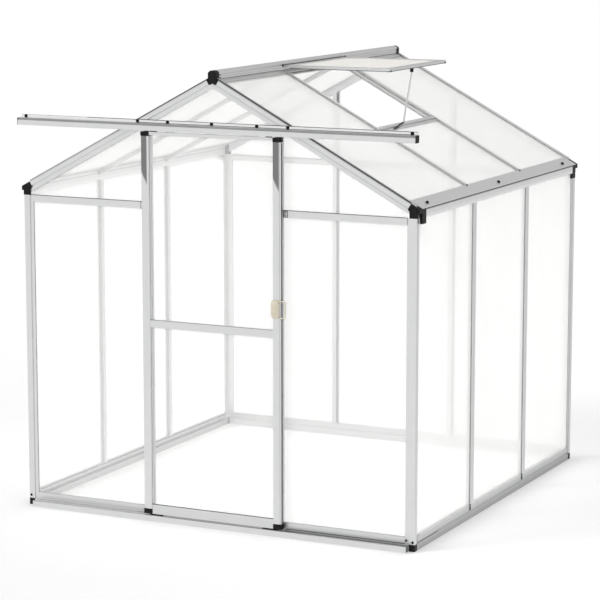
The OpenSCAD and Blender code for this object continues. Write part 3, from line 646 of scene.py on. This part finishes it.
gable_rafters("gable_rafters_front", FRONT_Y, 1)
gable_rafters("gable_rafters_back", BACK_Y, -1)


# ---------------------------------------------------------------- bolts

BOLT_R = 0.0055
BOLT_H = 0.0035
BOLT_TURN = 0.35            # each next bolt of a row stands turned by this much more, radians
WASHER = ((1.45, -SEAT), (1.45, 0.0008), (1.3, 0.0011))   # radius over the head's, height
WASHER_SIDES = 18
HEAD_FOOT = 0.0009


def bolt(bm, centre, normal, radius, height, turn):
    """Domed hexagon bolt head with a washer, seated on a face."""
    z = normal.normalized()
    x = z.orthogonal().normalized()
    y = z.cross(x)

    def ring(r, h, steps, start=0.0):
        return [bm.verts.new(centre + x * (r * math.cos(start + k * math.tau / steps))
                             + y * (r * math.sin(start + k * math.tau / steps)) + z * h)
                for k in range(steps)]

    join_rings(bm, [ring(r * radius, h, WASHER_SIDES) for r, h in WASHER])
    head = ((radius, HEAD_FOOT), (radius, 0.75 * height), (0.72 * radius, height))
    join_rings(bm, [ring(r, h, 6, turn) for r, h in head])


def bolts(name, places, normal, radius=BOLT_R, height=BOLT_H):
    """Adds a piece of bolt heads that all face the same way."""
    bm = bmesh.new()
    for k, place in enumerate(places):
        bolt(bm, Vector(place), normal, radius, height, BOLT_TURN * k)
    add_piece(name, bm, "black", smooth_angle=35)


TRACK_BOLT_X = (-0.932, -0.366, -0.218, -0.004, 0.212, 0.358, 0.927)
TRACK_BOLT_UP = 0.0375
bolts("track_bolts", [(x, FRONT_Y - 0.002, TRACK_LO.z + TRACK_BOLT_UP) for x in TRACK_BOLT_X], -BACK)

EAVE_BOLT_X = 0.9385
EAVE_BOLT_Y = (0.1295, 0.9439, 1.7754)      # behind the front posts' face
WING_UP = 0.0023            # the bolts' foot over the roof line
for side, name in ((1, "eave_bolts_right"), (-1, "eave_bolts_left")):
    out = slope_axes(side)[1]
    lift = out * WING_UP * OUT_RIGHT.z
    places = [Vector((side * EAVE_BOLT_X, FRONT_Y + y, roof_z(EAVE_BOLT_X))) + lift for y in EAVE_BOLT_Y]
    bolts(name, places, out, radius=0.0062, height=0.0075)


# ---------------------------------------------------------------- ridge beam

RIDGE_LO, RIDGE_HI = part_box("ridge_beam")
RIDGE_HALF = 21.0           # half the beam's width, mm
RIDGE_H = 49.9
GROOVES = (-38.0, -27.0, -16.0)             # below the top, mm
GROOVE_DEEP = 3.0
CROWN = ((19.6, -6.2), (16.5, -4.2), (10.5, -1.9), (5, -0.5), (0, 0))
LIP_END, LOWER_LIP_END = 38.0, 46.0         # from the middle, mm
LIP_GAP = 6.5               # between the two lips that hold a sheet, mm


def ridge_beam():
    """Grooved box beam with the lips that hold the roof sheets, and a rubber bead in its lowest groove that
    also darkens the line of shade there.
    """
    half = RIDGE_HALF
    span = (RIDGE_LO.y, RIDGE_HI.y)

    def place(x, y, t):
        return Vector((x, t, RIDGE_HI.z + y))

    outer = [Vector((half, -RIDGE_H))]
    for z in GROOVES:
        outer += [Vector((half, z - 2.4)), Vector((half - GROOVE_DEEP, z - 1.6)),
                  Vector((half - GROOVE_DEEP, z + 1.6)), Vector((half, z + 2.4))]
    outer += [Vector(p) for p in ((half, -8.5), *CROWN)]
    inner = [Vector(p) for p in ((half - 4, -RIDGE_H), (half - 4, -10), (10, -6), (0, -4))]
    outline = outer + [Vector((-p.x, p.y)) for p in outer[-2::-1]]
    outline += [Vector((-p.x, p.y)) for p in inner] + inner[-2::-1]
    outlines = [outline, ribbon([(3 - half, 1 - RIDGE_H), (half - 3, 1 - RIDGE_H)], WALL_T)]

    def line(x):
        """Roof line at x, both in mm and from the ridge's top."""
        return roof_z(x * MM) * 1000 - RIDGE_HI.z * 1000

    drop = WALL_T / math.cos(SLOPE)
    for side in (1, -1):
        for below, end in ((0.0, LIP_END), (LIP_GAP, LOWER_LIP_END)):
            foot = below / math.cos(SLOPE)
            outlines.append([Vector((side * x, line(x) - foot - d)) for x, d in
                             ((half - 2.0, 0), (end, 0), (end, drop), (half - 2.0, drop))])
    profile("ridge_grooved", outlines, place, *span, "y", "alloy", ("ridge_beam",), angle=30)
    bead_x = half - GROOVE_DEEP - 0.2
    beads = [ribbon([(side * bead_x, GROOVES[0] - 1.0), (side * bead_x, GROOVES[0] + 1.0)], 0.8)
             for side in (1, -1)]
    profile("ridge_beads", beads, place, *span, "rubber", "black_plastic")


ridge_beam()

HINGE_Y = (-0.312, 0.350)
HINGE_DROP = 0.0175
TONGUE_DROP = (0.0205, 0.0320, 0.0430)      # the caps' moulded tongues, below the ridge's top
TONGUE_HALF = 0.0022
TONGUE_SPAN = (0.020, 0.036)                # from the cap's end


def ridge_fittings():
    """Vent hinge bolts and rubber on the ridge, and the moulded tongues of the ridge caps."""
    caps_lo, caps_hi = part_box("ridge_caps")
    face, top = RIDGE_HALF * MM, RIDGE_HI.z
    bolts("hinge_bolts", [(face, y, top - HINGE_DROP) for y in HINGE_Y], RIGHT, radius=0.0042)
    bm = bmesh.new()
    rubber_lo, rubber_hi = (face - SEAT, HINGE_Y[0] + 0.013), (face + 0.0009, HINGE_Y[1] - 0.013)
    box_strip(bm, (*rubber_lo, top - 0.0168), (*rubber_hi, top - 0.0150))
    for side in (1, -1):
        for drop in TONGUE_DROP:
            for end, inward in ((caps_lo.y, 1), (caps_hi.y, -1)):
                y0, y1 = sorted(end + inward * reach for reach in TONGUE_SPAN)
                side_strip(bm, side, (face - SEAT, y0, top - drop - TONGUE_HALF),
                           (face + 0.0012, y1, top - drop + TONGUE_HALF))
    add_piece("ridge_fittings", bm, "black")


ridge_fittings()


# ---------------------------------------------------------------- roof rafters

RAFTER_TOP_X, RAFTER_LOW_X = 0.0462, 0.9375
CROWN_LOW_X = 0.911         # lower end of the crowned cap
CROWN_TOP_X = (LIP_END + 0.3) * MM
BAR_CROWN = ((-9, -2.2), (-9, -1.2), (-5.6, -1.2), (-5.6, 4.6), (-5.1, 5.0), (0, 5.2), (5.1, 5.0),
             (5.6, 4.6), (5.6, -1.2), (9, -1.2), (9, -2.2))
BAR_WALLS = ([(-9, -1), (9, -1)], [(0, -25), (0, -1.5)], [(-12, -7.5), (12, -7.5)],
             [(-10.5, -24), (10.5, -24)])


def roof_rafters(side, node):
    """Glazing bars with a crowned cap over the joint of the sheets, closed by a rubber nub."""
    down, out = slope_axes(side)
    crown = [Vector(p) for p in BAR_CROWN]
    nub = [Vector((1.1 * p.x, p.y + 0.5)) for p in crown[2:9]]
    bars, ends = bmesh.new(), bmesh.new()
    for k in range(1, BAYS):
        apex = Vector((0, FRONT_Y + k * BAY, APEX_Z))

        def place(x, y, t):
            return apex + BACK * x + out * y + down * t

        extrude(bars, crown, place, slope_cut(CROWN_TOP_X), slope_cut(CROWN_LOW_X))
        for wall in BAR_WALLS:
            extrude(bars, ribbon(wall, WALL_T), place, slope_cut(RAFTER_TOP_X), slope_cut(RAFTER_LOW_X))
        extrude(ends, nub, place, slope_cut(CROWN_LOW_X - 0.003), slope_cut(CROWN_LOW_X + 0.0012))
    add_piece("glazing_bars_" + node, bars, "slope", "house", ("roof_rafters_" + node,), 35)
    add_piece("glazing_bar_ends_" + node, ends, "rubber", smooth_angle=35)


roof_rafters(1, "right")
roof_rafters(-1, "left")


# ---------------------------------------------------------------- glazing rubbers

def rubbers():
    """Rubber under the front gable's sheets, along the top of the ties, which also stands in for the line
    of shade there.
    """
    bm = bmesh.new()
    top = TIE_Z + TIE_H
    for side in (1, -1):
        side_strip(bm, side, (JAMB_OUTER_X, FRONT_Y + 0.0020, top - SEAT),
                   (POST_INNER_X, FRONT_Y + 0.0064, top + 0.0020))
    add_piece("glazing_rubbers", bm, "rubber")


rubbers()

FASCIA_OUT = 0.012          # how far the eave beams' fascia stands outside the walls


def groove_strips():
    """Rubber beads that close the grooves of the eave beams and the front rail and also stand in for their
    shadow lines.
    """
    bm = bmesh.new()
    fascia_top = EAVE_Z - FASCIA_OUT * math.tan(SLOPE)
    for side in (1, -1):
        side_strip(bm, side, (HALF_W + 0.0065, FRONT_Y + 0.071, fascia_top - 0.0042),
                   (HALF_W + 0.0117, BACK_Y - 0.030, fascia_top - SEAT))
    box_strip(bm, (GLIDE_END_X, FRONT_Y + 0.0018, 0.0300), (HALF_W - 0.046, FRONT_Y + 0.0042, 0.0318))
    add_piece("groove_beads", bm, "rubber")


groove_strips()


# ---------------------------------------------------------------- floor guide

GUIDE_START = 0.013         # the dressed channel starts this far in from the CAD's end


def floor_guide():
    """Floor channel with folded lips, a fluted front and a pale glide strip behind the door."""
    low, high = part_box("door_guide")
    place = along_front(0.0)
    start = low.x + GUIDE_START
    outlines = [ribbon([(-28, 27), (-35, 27, 1.5), (-35, 15.5)], WALL_T), rectangle(-35.4, -34, 12.5, 16.5),
                ribbon([(-35, 13), (-35, 1, 1.5), (-1, 1), (-1, 27), (-6, 27)], WALL_T)]
    profile("floor_guide", outlines, place, start, high.x, "x", "alloy", ("door_guide",), angle=30)
    profile("guide_glide", [rectangle(-6.2, -5.2, 19, 27.8)], place, start + 0.002, GLIDE_END_X, "glide",
            "handle_plastic")


floor_guide()


# ---------------------------------------------------------------- screws

FOOT_SCREWS = ((-0.9410, 0.0440), (0.9410, 0.0400))
STUD_SCREWS = [(x, z) for x in (-0.317, 0.317) for z in (0.071, 1.385)]
bolts("foot_screws", [(x, FRONT_Y, z) for x, z in FOOT_SCREWS], -BACK, radius=0.0040)
bolts("stud_screws_back", [(x, BACK_Y - 0.0004, z) for x, z in STUD_SCREWS], BACK, radius=0.0036,
      height=0.0012)


# ---------------------------------------------------------------- side walls

CORNER = 0.030              # the strips on the base rails end this far from the corner blocks
FILLER_START = 0.22
GROOVE_Z = (0.0298, 0.0352)                 # the base rails' outer groove


def side_wall_seals():
    """Dark seals along the studs and on the base rails' inner side, which also stand in for the shade
    there, pale beads where the sheets stand in the base, and the closed groove.
    """
    studs_lo, studs_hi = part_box("studs_right")
    base_lo, base_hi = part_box("base_right")
    half = (studs_hi.y - studs_lo.y - BAY) / 2
    seals, beads, fillers = bmesh.new(), bmesh.new(), bmesh.new()
    y0, y1, top = base_lo.y + CORNER, base_hi.y - CORNER, base_hi.z
    along_base = ((beads, -0.0063, -0.0008, y0, top - 0.0010, top + 0.0012),
                  (fillers, -0.0042, -0.0008, base_lo.y + FILLER_START, *GROOVE_Z),
                  # the dark seals on the base rails' inner side also stand in for shade in their channels
                  (seals, -0.0236, -0.0218, y0, top - 0.0055, top + 0.0004),
                  (seals, -0.0232, -0.0218, y0, 0.0285, 0.0340))
    for side in (1, -1):
        # rubber seals on the studs' edges, which also stand in for the shade on the studs' side faces
        for k in range(1, BAYS):
            edge = FRONT_Y + k * BAY - half
            side_strip(seals, side, (HALF_W - 0.0046, edge - 0.0008, top + 0.0005),
                       (HALF_W - 0.0029, edge + 0.0004, studs_hi.z - 0.001))
            side_strip(seals, side, (HALF_W - 0.0030, edge - 0.0020, top - 0.022),
                       (HALF_W + 0.0012, edge + 0.0022, top + 0.006))
        for bm, inner, outer, start, z0, z1 in along_base:
            side_strip(bm, side, (HALF_W + inner, start, z0), (HALF_W + outer, y1, z1))
    box_strip(beads, (-POST_INNER_X, FRONT_Y + 0.0006, GROOVE_Z[0]),
              (GLIDE_END_X, FRONT_Y + 0.0042, GROOVE_Z[1]))
    add_piece("stud_seals", seals, "rubber")
    add_piece("base_beads", beads, "glide")
    # the fillers take the base rails' darker, painted-shade alloy
    add_piece("base_fillers", fillers, "shaded_base_rail")


side_wall_seals()


# ---------------------------------------------------------------- seals and vent edges

TRACK_SEALS = (-0.62, -0.36)                # where the bead and the foot bead start
TRACK_SEAL_END = 0.004


def track_seals():
    """Rubber bead on the flange of the track, over the doorway and the right wall, and one at its foot;
    both also stand in for dark lines of shade along the track's top.
    """
    place = along_front(TRACK_LO.z)
    end = TRACK_HI.x - TRACK_SEAL_END
    foot = [Vector((-3.4, 30.6)), Vector((-1.8, 30.6)), Vector((-1.8, 33.2))]
    for name, outline, start in (("track_seal", circle(-1.2, 43.6, 1.4), TRACK_SEALS[0]),
                                 ("track_foot_bead", foot, TRACK_SEALS[1])):
        profile(name, [outline], place, start, end, "rubber", "black_plastic")


track_seals()


def slanted_bar(bm, a, b, width, thick, up):
    """Flat bar from a to b, its broad face turned to `up`."""
    along = (b - a).normalized()
    side = along.cross(up).normalized() * (width / 2)
    lift = side.cross(along).normalized() * (thick / 2)
    section = ((-1, -1), (1, -1), (1, 0.4), (0.7, 1), (-0.7, 1), (-1, 0.4))
    join_rings(bm, [[bm.verts.new(p + side * i + lift * j) for i, j in section] for p in (a, b)])


VENT_DROP = 0.0026          # the seals hang this far below the vent's frame
VENT_CORNER = 0.016
VENT_HINGE = 0.030          # the side seals start this far from the hinge
STAY_FOOT = ((0.483, -0.018), (0.508, -0.176))      # ends of the strip that the stay stands on, x and y


def vent_edges():
    """Dark edge seals under the open vent, its two corner pieces and the foot strip of its stay."""
    low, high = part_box("vent_frame")
    bm = bmesh.new()
    under = low.z - VENT_DROP
    box_strip(bm, (high.x - 0.0030, low.y + 0.001, under), (high.x - SEAT, high.y - 0.001, low.z + 0.0012))
    for y0, y1 in ((low.y + SEAT, low.y + 0.0026), (high.y - 0.0026, high.y - SEAT)):
        box_strip(bm, (low.x + VENT_HINGE, y0, under), (high.x - 0.001, y1, low.z + 0.0008))
    for y0, y1 in ((low.y + SEAT, low.y + VENT_CORNER), (high.y - VENT_CORNER, high.y - SEAT)):
        box_strip(bm, (high.x - VENT_CORNER, y0, low.z - 0.0034), (high.x + 0.0006, y1, low.z + 0.0035))
    foot = [Vector((x, y, roof_z(x) + 0.0085)) for x, y in STAY_FOOT]
    slanted_bar(bm, *foot, 0.008, 0.004, OUT_RIGHT)
    add_piece("vent_edge_seals", bm, "rubber")


vent_edges()


# ---------------------------------------------------------------- door details

DOOR_FACE = STILES_LO.y
CAPS_LO, CAPS_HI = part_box("door_caps")


def tube(bm, path, radius_a, radius_b, steps=12):
    """Closed tube of elliptic section along a closed path in the door's plane."""
    rings = []
    for i, here in enumerate(path):
        along = (path[(i + 1) % len(path)] - path[i - 1]).normalized()
        side = along.cross(BACK)
        rings.append([bm.verts.new(here + side * (radius_a * math.cos(k * math.tau / steps))
                                   + BACK * (radius_b * math.sin(k * math.tau / steps)))
                      for k in range(steps)])
    join_rings(bm, rings + rings[:1], capped=False)


def rounded_rect(x0, x1, z0, z1, r, steps=8):
    """Points round a rectangle with rounded corners."""
    points = []
    for cx, cz, start in ((x1 - r, z0 + r, -90), (x1 - r, z1 - r, 0), (x0 + r, z1 - r, 90),
                          (x0 + r, z0 + r, 180)):
        for k in range(steps + 1):
            a = math.radians(start + 90 * k / steps)
            points.append((cx + r * math.cos(a), cz + r * math.sin(a)))
    return points


GRIP_IN = 0.004             # the grip stands this far inside the handle's box
GRIP_W = 0.034
GRIP_R = 0.010
# depth and inset of each layer of the grip
GRIP_STEPS = ((0.0, 0.0), (0.0060, 0.0), (0.0088, 0.0010), (0.0104, 0.0026), (0.0110, 0.0048))
RIBS, RIB_FIRST, RIB_STEP = 5, 0.0080, 0.0045
RIB_ENDS = ((0.009, 0.0004), (0.011, 0.0013))       # distance from the grip's end, radius
RIB_SIDES = 10
LOOP_R = 0.0030
LOOP_DEEP = 0.0042


def door_handle():
    """Cream grip with upright ribs and a rounded finger loop beside the stile."""
    low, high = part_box("door_handle")
    bm = bmesh.new()
    x0, x1 = low.x + GRIP_IN, low.x + GRIP_IN + GRIP_W
    z0, z1 = low.z + GRIP_IN, high.z - GRIP_IN
    layers = []
    for depth, inset in GRIP_STEPS:
        ring = rounded_rect(x0 + inset, x1 - inset, z0 + inset, z1 - inset, GRIP_R - inset)
        layers.append([bm.verts.new((x, DOOR_FACE - depth, z)) for x, z in ring])
    join_rings(bm, layers)
    face = DOOR_FACE - GRIP_STEPS[-1][0] + SEAT
    heights = [(z0 + up, r) for up, r in RIB_ENDS] + [(z1 - up, r) for up, r in RIB_ENDS[::-1]]
    for k in range(RIBS):
        cx = x0 + RIB_FIRST + k * RIB_STEP
        join_rings(bm, [[bm.verts.new((cx + 1.2 * r * math.cos(i * math.tau / RIB_SIDES),
                                       face - 0.9 * r * math.sin(i * math.tau / RIB_SIDES), z))
                         for i in range(RIB_SIDES)] for z, r in heights])
    path = rounded_rect(low.x + LOOP_R, high.x - LOOP_R, low.z + LOOP_R, high.z - LOOP_R, 0.011, 10)
    tube(bm, [Vector((x, DOOR_FACE - LOOP_DEEP, z)) for x, z in path], LOOP_R, 0.0039)
    add_piece("handle_grip", bm, "cream", "door", ("door_handle",), 45)


door_handle()

CAP_RIBS, CAP_RIB_FIRST, CAP_RIB_STEP, CAP_RIB_H = 3, 0.0040, 0.0060, 0.0022
CAP_RIB_OUT = 0.0014
COLLAR = (0.0185, 0.0120)                   # of the upper caps, below their top


def cap_ribs():
    """Thin moulded ribs round the lower stile caps, collars on the upper ones, and the sheets' rubbers."""
    bm = bmesh.new()
    inner, outer = STILES_HI.x - STILE_W - CAP_RIB_OUT, STILES_HI.x + CAP_RIB_OUT
    for side in (1, -1):
        for k in range(CAP_RIBS):
            z = CAPS_LO.z + CAP_RIB_FIRST + k * CAP_RIB_STEP
            side_strip(bm, side, (inner, CAPS_LO.y - 0.0004, z), (outer, CAPS_HI.y, z + CAP_RIB_H))
        side_strip(bm, side, (inner + 0.0009, CAPS_LO.y + SEAT, CAPS_HI.z - COLLAR[0]),
                   (outer - 0.0009, CAPS_HI.y - SEAT, CAPS_HI.z - COLLAR[1]))
    for rail, depth, up in (("door_bottom_rail", 0.0030, 0.0022), ("door_mid_rail", 0.0024, 0.0008)):
        low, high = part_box(rail)
        box_strip(bm, (low.x + 0.001, low.y + 0.0003, high.z - SEAT),
                  (high.x - 0.001, low.y + depth, high.z + up))
    add_piece("stile_cap_ribs", bm, "black", "door")


cap_ribs()

STILE_SEAL_END = 0.022      # from the caps' ends


def stile_seal():
    """Dark seal along the outer side of the closing stile, which also stands in for the shade of its step.
    """
    bm = bmesh.new()
    box_strip(bm, (STILES_HI.x - SEAT, STILES_LO.y + 0.0062, CAPS_LO.z + STILE_SEAL_END),
              (STILES_HI.x + 0.0008, STILES_HI.y - 0.0059, CAPS_HI.z - STILE_SEAL_END))
    add_piece("stile_seal", bm, "rubber", "door")


stile_seal()

SWEEP_HALF = 0.246
SWEEP_H = 0.0085


def door_sweep():
    """Pale strip under the bottom rail that hangs freely in the slot of the floor guide."""
    low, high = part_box("door_bottom_rail")
    middle = (low.y + high.y) / 2
    bm = bmesh.new()
    box_strip(bm, (-SWEEP_HALF, middle - 0.0038, low.z - SWEEP_H),
              (SWEEP_HALF, middle + 0.0037, low.z + 0.0004))
    add_piece("door_sweep", bm, "glide", "door")


door_sweep()


# ---------------------------------------------------------------- joint clips

PLATE_X = 0.346
PLATE = (0.0080, 0.0012, 0.0030, 0.0260)    # half width, thickness, low and high edge above the tie's foot
PLATE_SEAL = (0.0105, 0.0006, 0.0004, 0.0286)
RIVETS = ((0.0022, 0.0014, 0.0065, 0.0105), (0.0022, 0.0014, 0.0185, 0.0225))
POST_PLUG_X = 0.9100


def joint_clips():
    """Flat riveted plates where the ties meet the door jambs, low enough for the door to pass."""
    plates, seals = bmesh.new(), bmesh.new()
    for side in (1, -1):
        cx = side * PLATE_X
        for bm, (half, thick, z0, z1) in ((seals, PLATE_SEAL), (plates, PLATE), (seals, RIVETS[0]),
                                          (seals, RIVETS[1])):
            box_strip(bm, (cx - half, FRONT_Y - thick, TIE_Z + z0), (cx + half, FRONT_Y, TIE_Z + z1))
    box_strip(seals, (POST_PLUG_X - 0.0045, FRONT_Y - 0.0004, 0.0410),
              (POST_PLUG_X + 0.0045, FRONT_Y, 0.0495))
    add_piece("joint_plates", plates, "z")
    add_piece("joint_seals", seals, "rubber")


joint_clips()


# ---------------------------------------------------------------- studio

CAMERA_LENS = 146.83
SENSOR_W = 36.0
CLIP_END = 300.0
CAMERA_PLACE = (4.8817, -10.1460, 2.7366)
CAMERA_PITCH = math.radians(9.429)
CAMERA_YAW = math.radians(25.9)
SOFT_LEVEL = 0.46           # what the world adds to plain surfaces
FRONT_WALL = ((0.0, 0.18, 0.45), (1.0, 1.0, 0.30))
BACK_WALL = ((0.0, 0.22, 0.42, 0.60, 0.85), (0.35, 0.35, 0.72, 0.72, 0.30))
WALLS_MEET = (0.1, 0.5)     # where the front wall gives way to the back wall, as a direction's y
FLOOR_SIZE = 160.0
FLOOR_GLOW = 0.20
MIRRORED = {"From Min": -1.5, "From Max": 1.5, "To Min": 1.0, "To Max": 0.84}   # the floor in metal, over y
WHITE, BLACK = (1, 1, 1, 1), (0, 0, 0, 1)
LAMPS = (("key", (-6.0, -5.0, 4.0), 2.0, 30), ("fill", (8.0, -3.0, 4.0), 0.75, 50),
         ("rim", (2.0, 8.0, 6.0), 0.75, 50))
CLEAR_LAYERS = 48           # how many clear skins a ray may pass


def studio_world():
    """White for the camera, a soft level for plain surfaces, and walls of a studio in glossy ones."""
    world = bpy.data.worlds.new("studio")
    t = Tree(world, "World")
    world.cycles.sampling_method = "NONE"
    path = t.add("LightPath").outputs
    shown = t.math("MAXIMUM", path["Is Camera Ray"], path["Is Transmission Ray"])
    toward = t.add("SeparateXYZ", {0: t.add("TexCoord").outputs["Generated"]}).outputs
    ahead = t.add("MapRange", {"Value": toward["Y"], "From Min": WALLS_MEET[0], "From Max": WALLS_MEET[1]})
    walls = t.add("Mix", {"Factor": ahead.outputs[0], "A": t.stops(toward["Z"], *FRONT_WALL),
                          "B": t.stops(toward["Z"], *BACK_WALL)}, data_type="FLOAT")
    soft, glossy, white = [t.add("Background", {"Color": WHITE, "Strength": level}).outputs[0]
                           for level in (SOFT_LEVEL, walls.outputs[0], 1.0)]
    unseen = t.add("MixShader", {0: path["Is Glossy Ray"], 1: soft, 2: glossy}).outputs[0]
    t.surface(t.add("MixShader", {0: shown, 1: unseen, 2: white}).outputs[0])
    return world


def studio_floor():
    """Pale floor that keeps the shadow, glows a little for the camera and is white in metal and sheets."""
    t = new_material("studio_floor")
    depth = t.add("SeparateXYZ", {0: t.add("TexCoord").outputs["Object"]}).outputs["Y"]
    path = t.add("LightPath").outputs
    base = t.ramp(t.noise(EVEN, 30.0, 3.0), 0.80, 0.82)
    lit = t.add("BsdfDiffuse", {"Color": base}).outputs[0]
    glow = t.add("Emission", {"Color": WHITE, "Strength": FLOOR_GLOW}).outputs[0]
    nothing = t.add("Emission", {"Color": BLACK, "Strength": 0.0}).outputs[0]
    seen = t.math("MAXIMUM", path["Is Camera Ray"], path["Is Transmission Ray"])
    chosen = t.add("MixShader", {0: seen, 1: nothing, 2: glow}).outputs[0]
    level = t.add("MapRange", {"Value": depth, **MIRRORED}).outputs[0]
    mirrored = t.add("Emission", {"Color": WHITE, "Strength": level}).outputs[0]
    plain = t.add("AddShader", {0: lit, 1: chosen}).outputs[0]
    mirror = t.math("SUBTRACT", path["Is Glossy Ray"], path["Is Transmission Ray"], True)
    t.surface(t.add("MixShader", {0: mirror, 1: plain, 2: mirrored}).outputs[0])
    MAT["floor"] = t.owner
    bm = bmesh.new()
    half = FLOOR_SIZE / 2
    bm.faces.new([bm.verts.new((*corner, 0.0)) for corner in rectangle(-half, half, -half, half)])
    new_object("floor", bm, "floor")


def lamp(name, place, strength, softness):
    """Soft sun that lights plain surfaces and doesn't show in metal or through the sheets."""
    data = bpy.data.lights.new(name, "SUN")
    data.energy = strength
    data.angle = math.radians(softness)
    obj = bpy.data.objects.new(name, data)
    obj.location = place
    obj.rotation_euler = (-Vector(place)).to_track_quat("-Z", "Y").to_euler()
    obj.visible_glossy = False
    obj.visible_transmission = False
    bpy.context.scene.collection.objects.link(obj)


def studio():
    """World, floor, lamps and camera."""
    scene = bpy.context.scene
    scene.world = studio_world()
    studio_floor()
    for row in LAMPS:
        lamp(*row)
    data = bpy.data.cameras.new("camera")
    data.lens = CAMERA_LENS
    data.sensor_width = SENSOR_W
    data.clip_end = CLIP_END
    camera = bpy.data.objects.new("camera", data)
    camera.location = CAMERA_PLACE
    camera.rotation_euler = (math.pi / 2 - CAMERA_PITCH, 0, CAMERA_YAW)
    scene.collection.objects.link(camera)
    scene.camera = camera
    scene.view_settings.view_transform = "Standard"
    scene.cycles.transparent_max_bounces = CLEAR_LAYERS


studio()
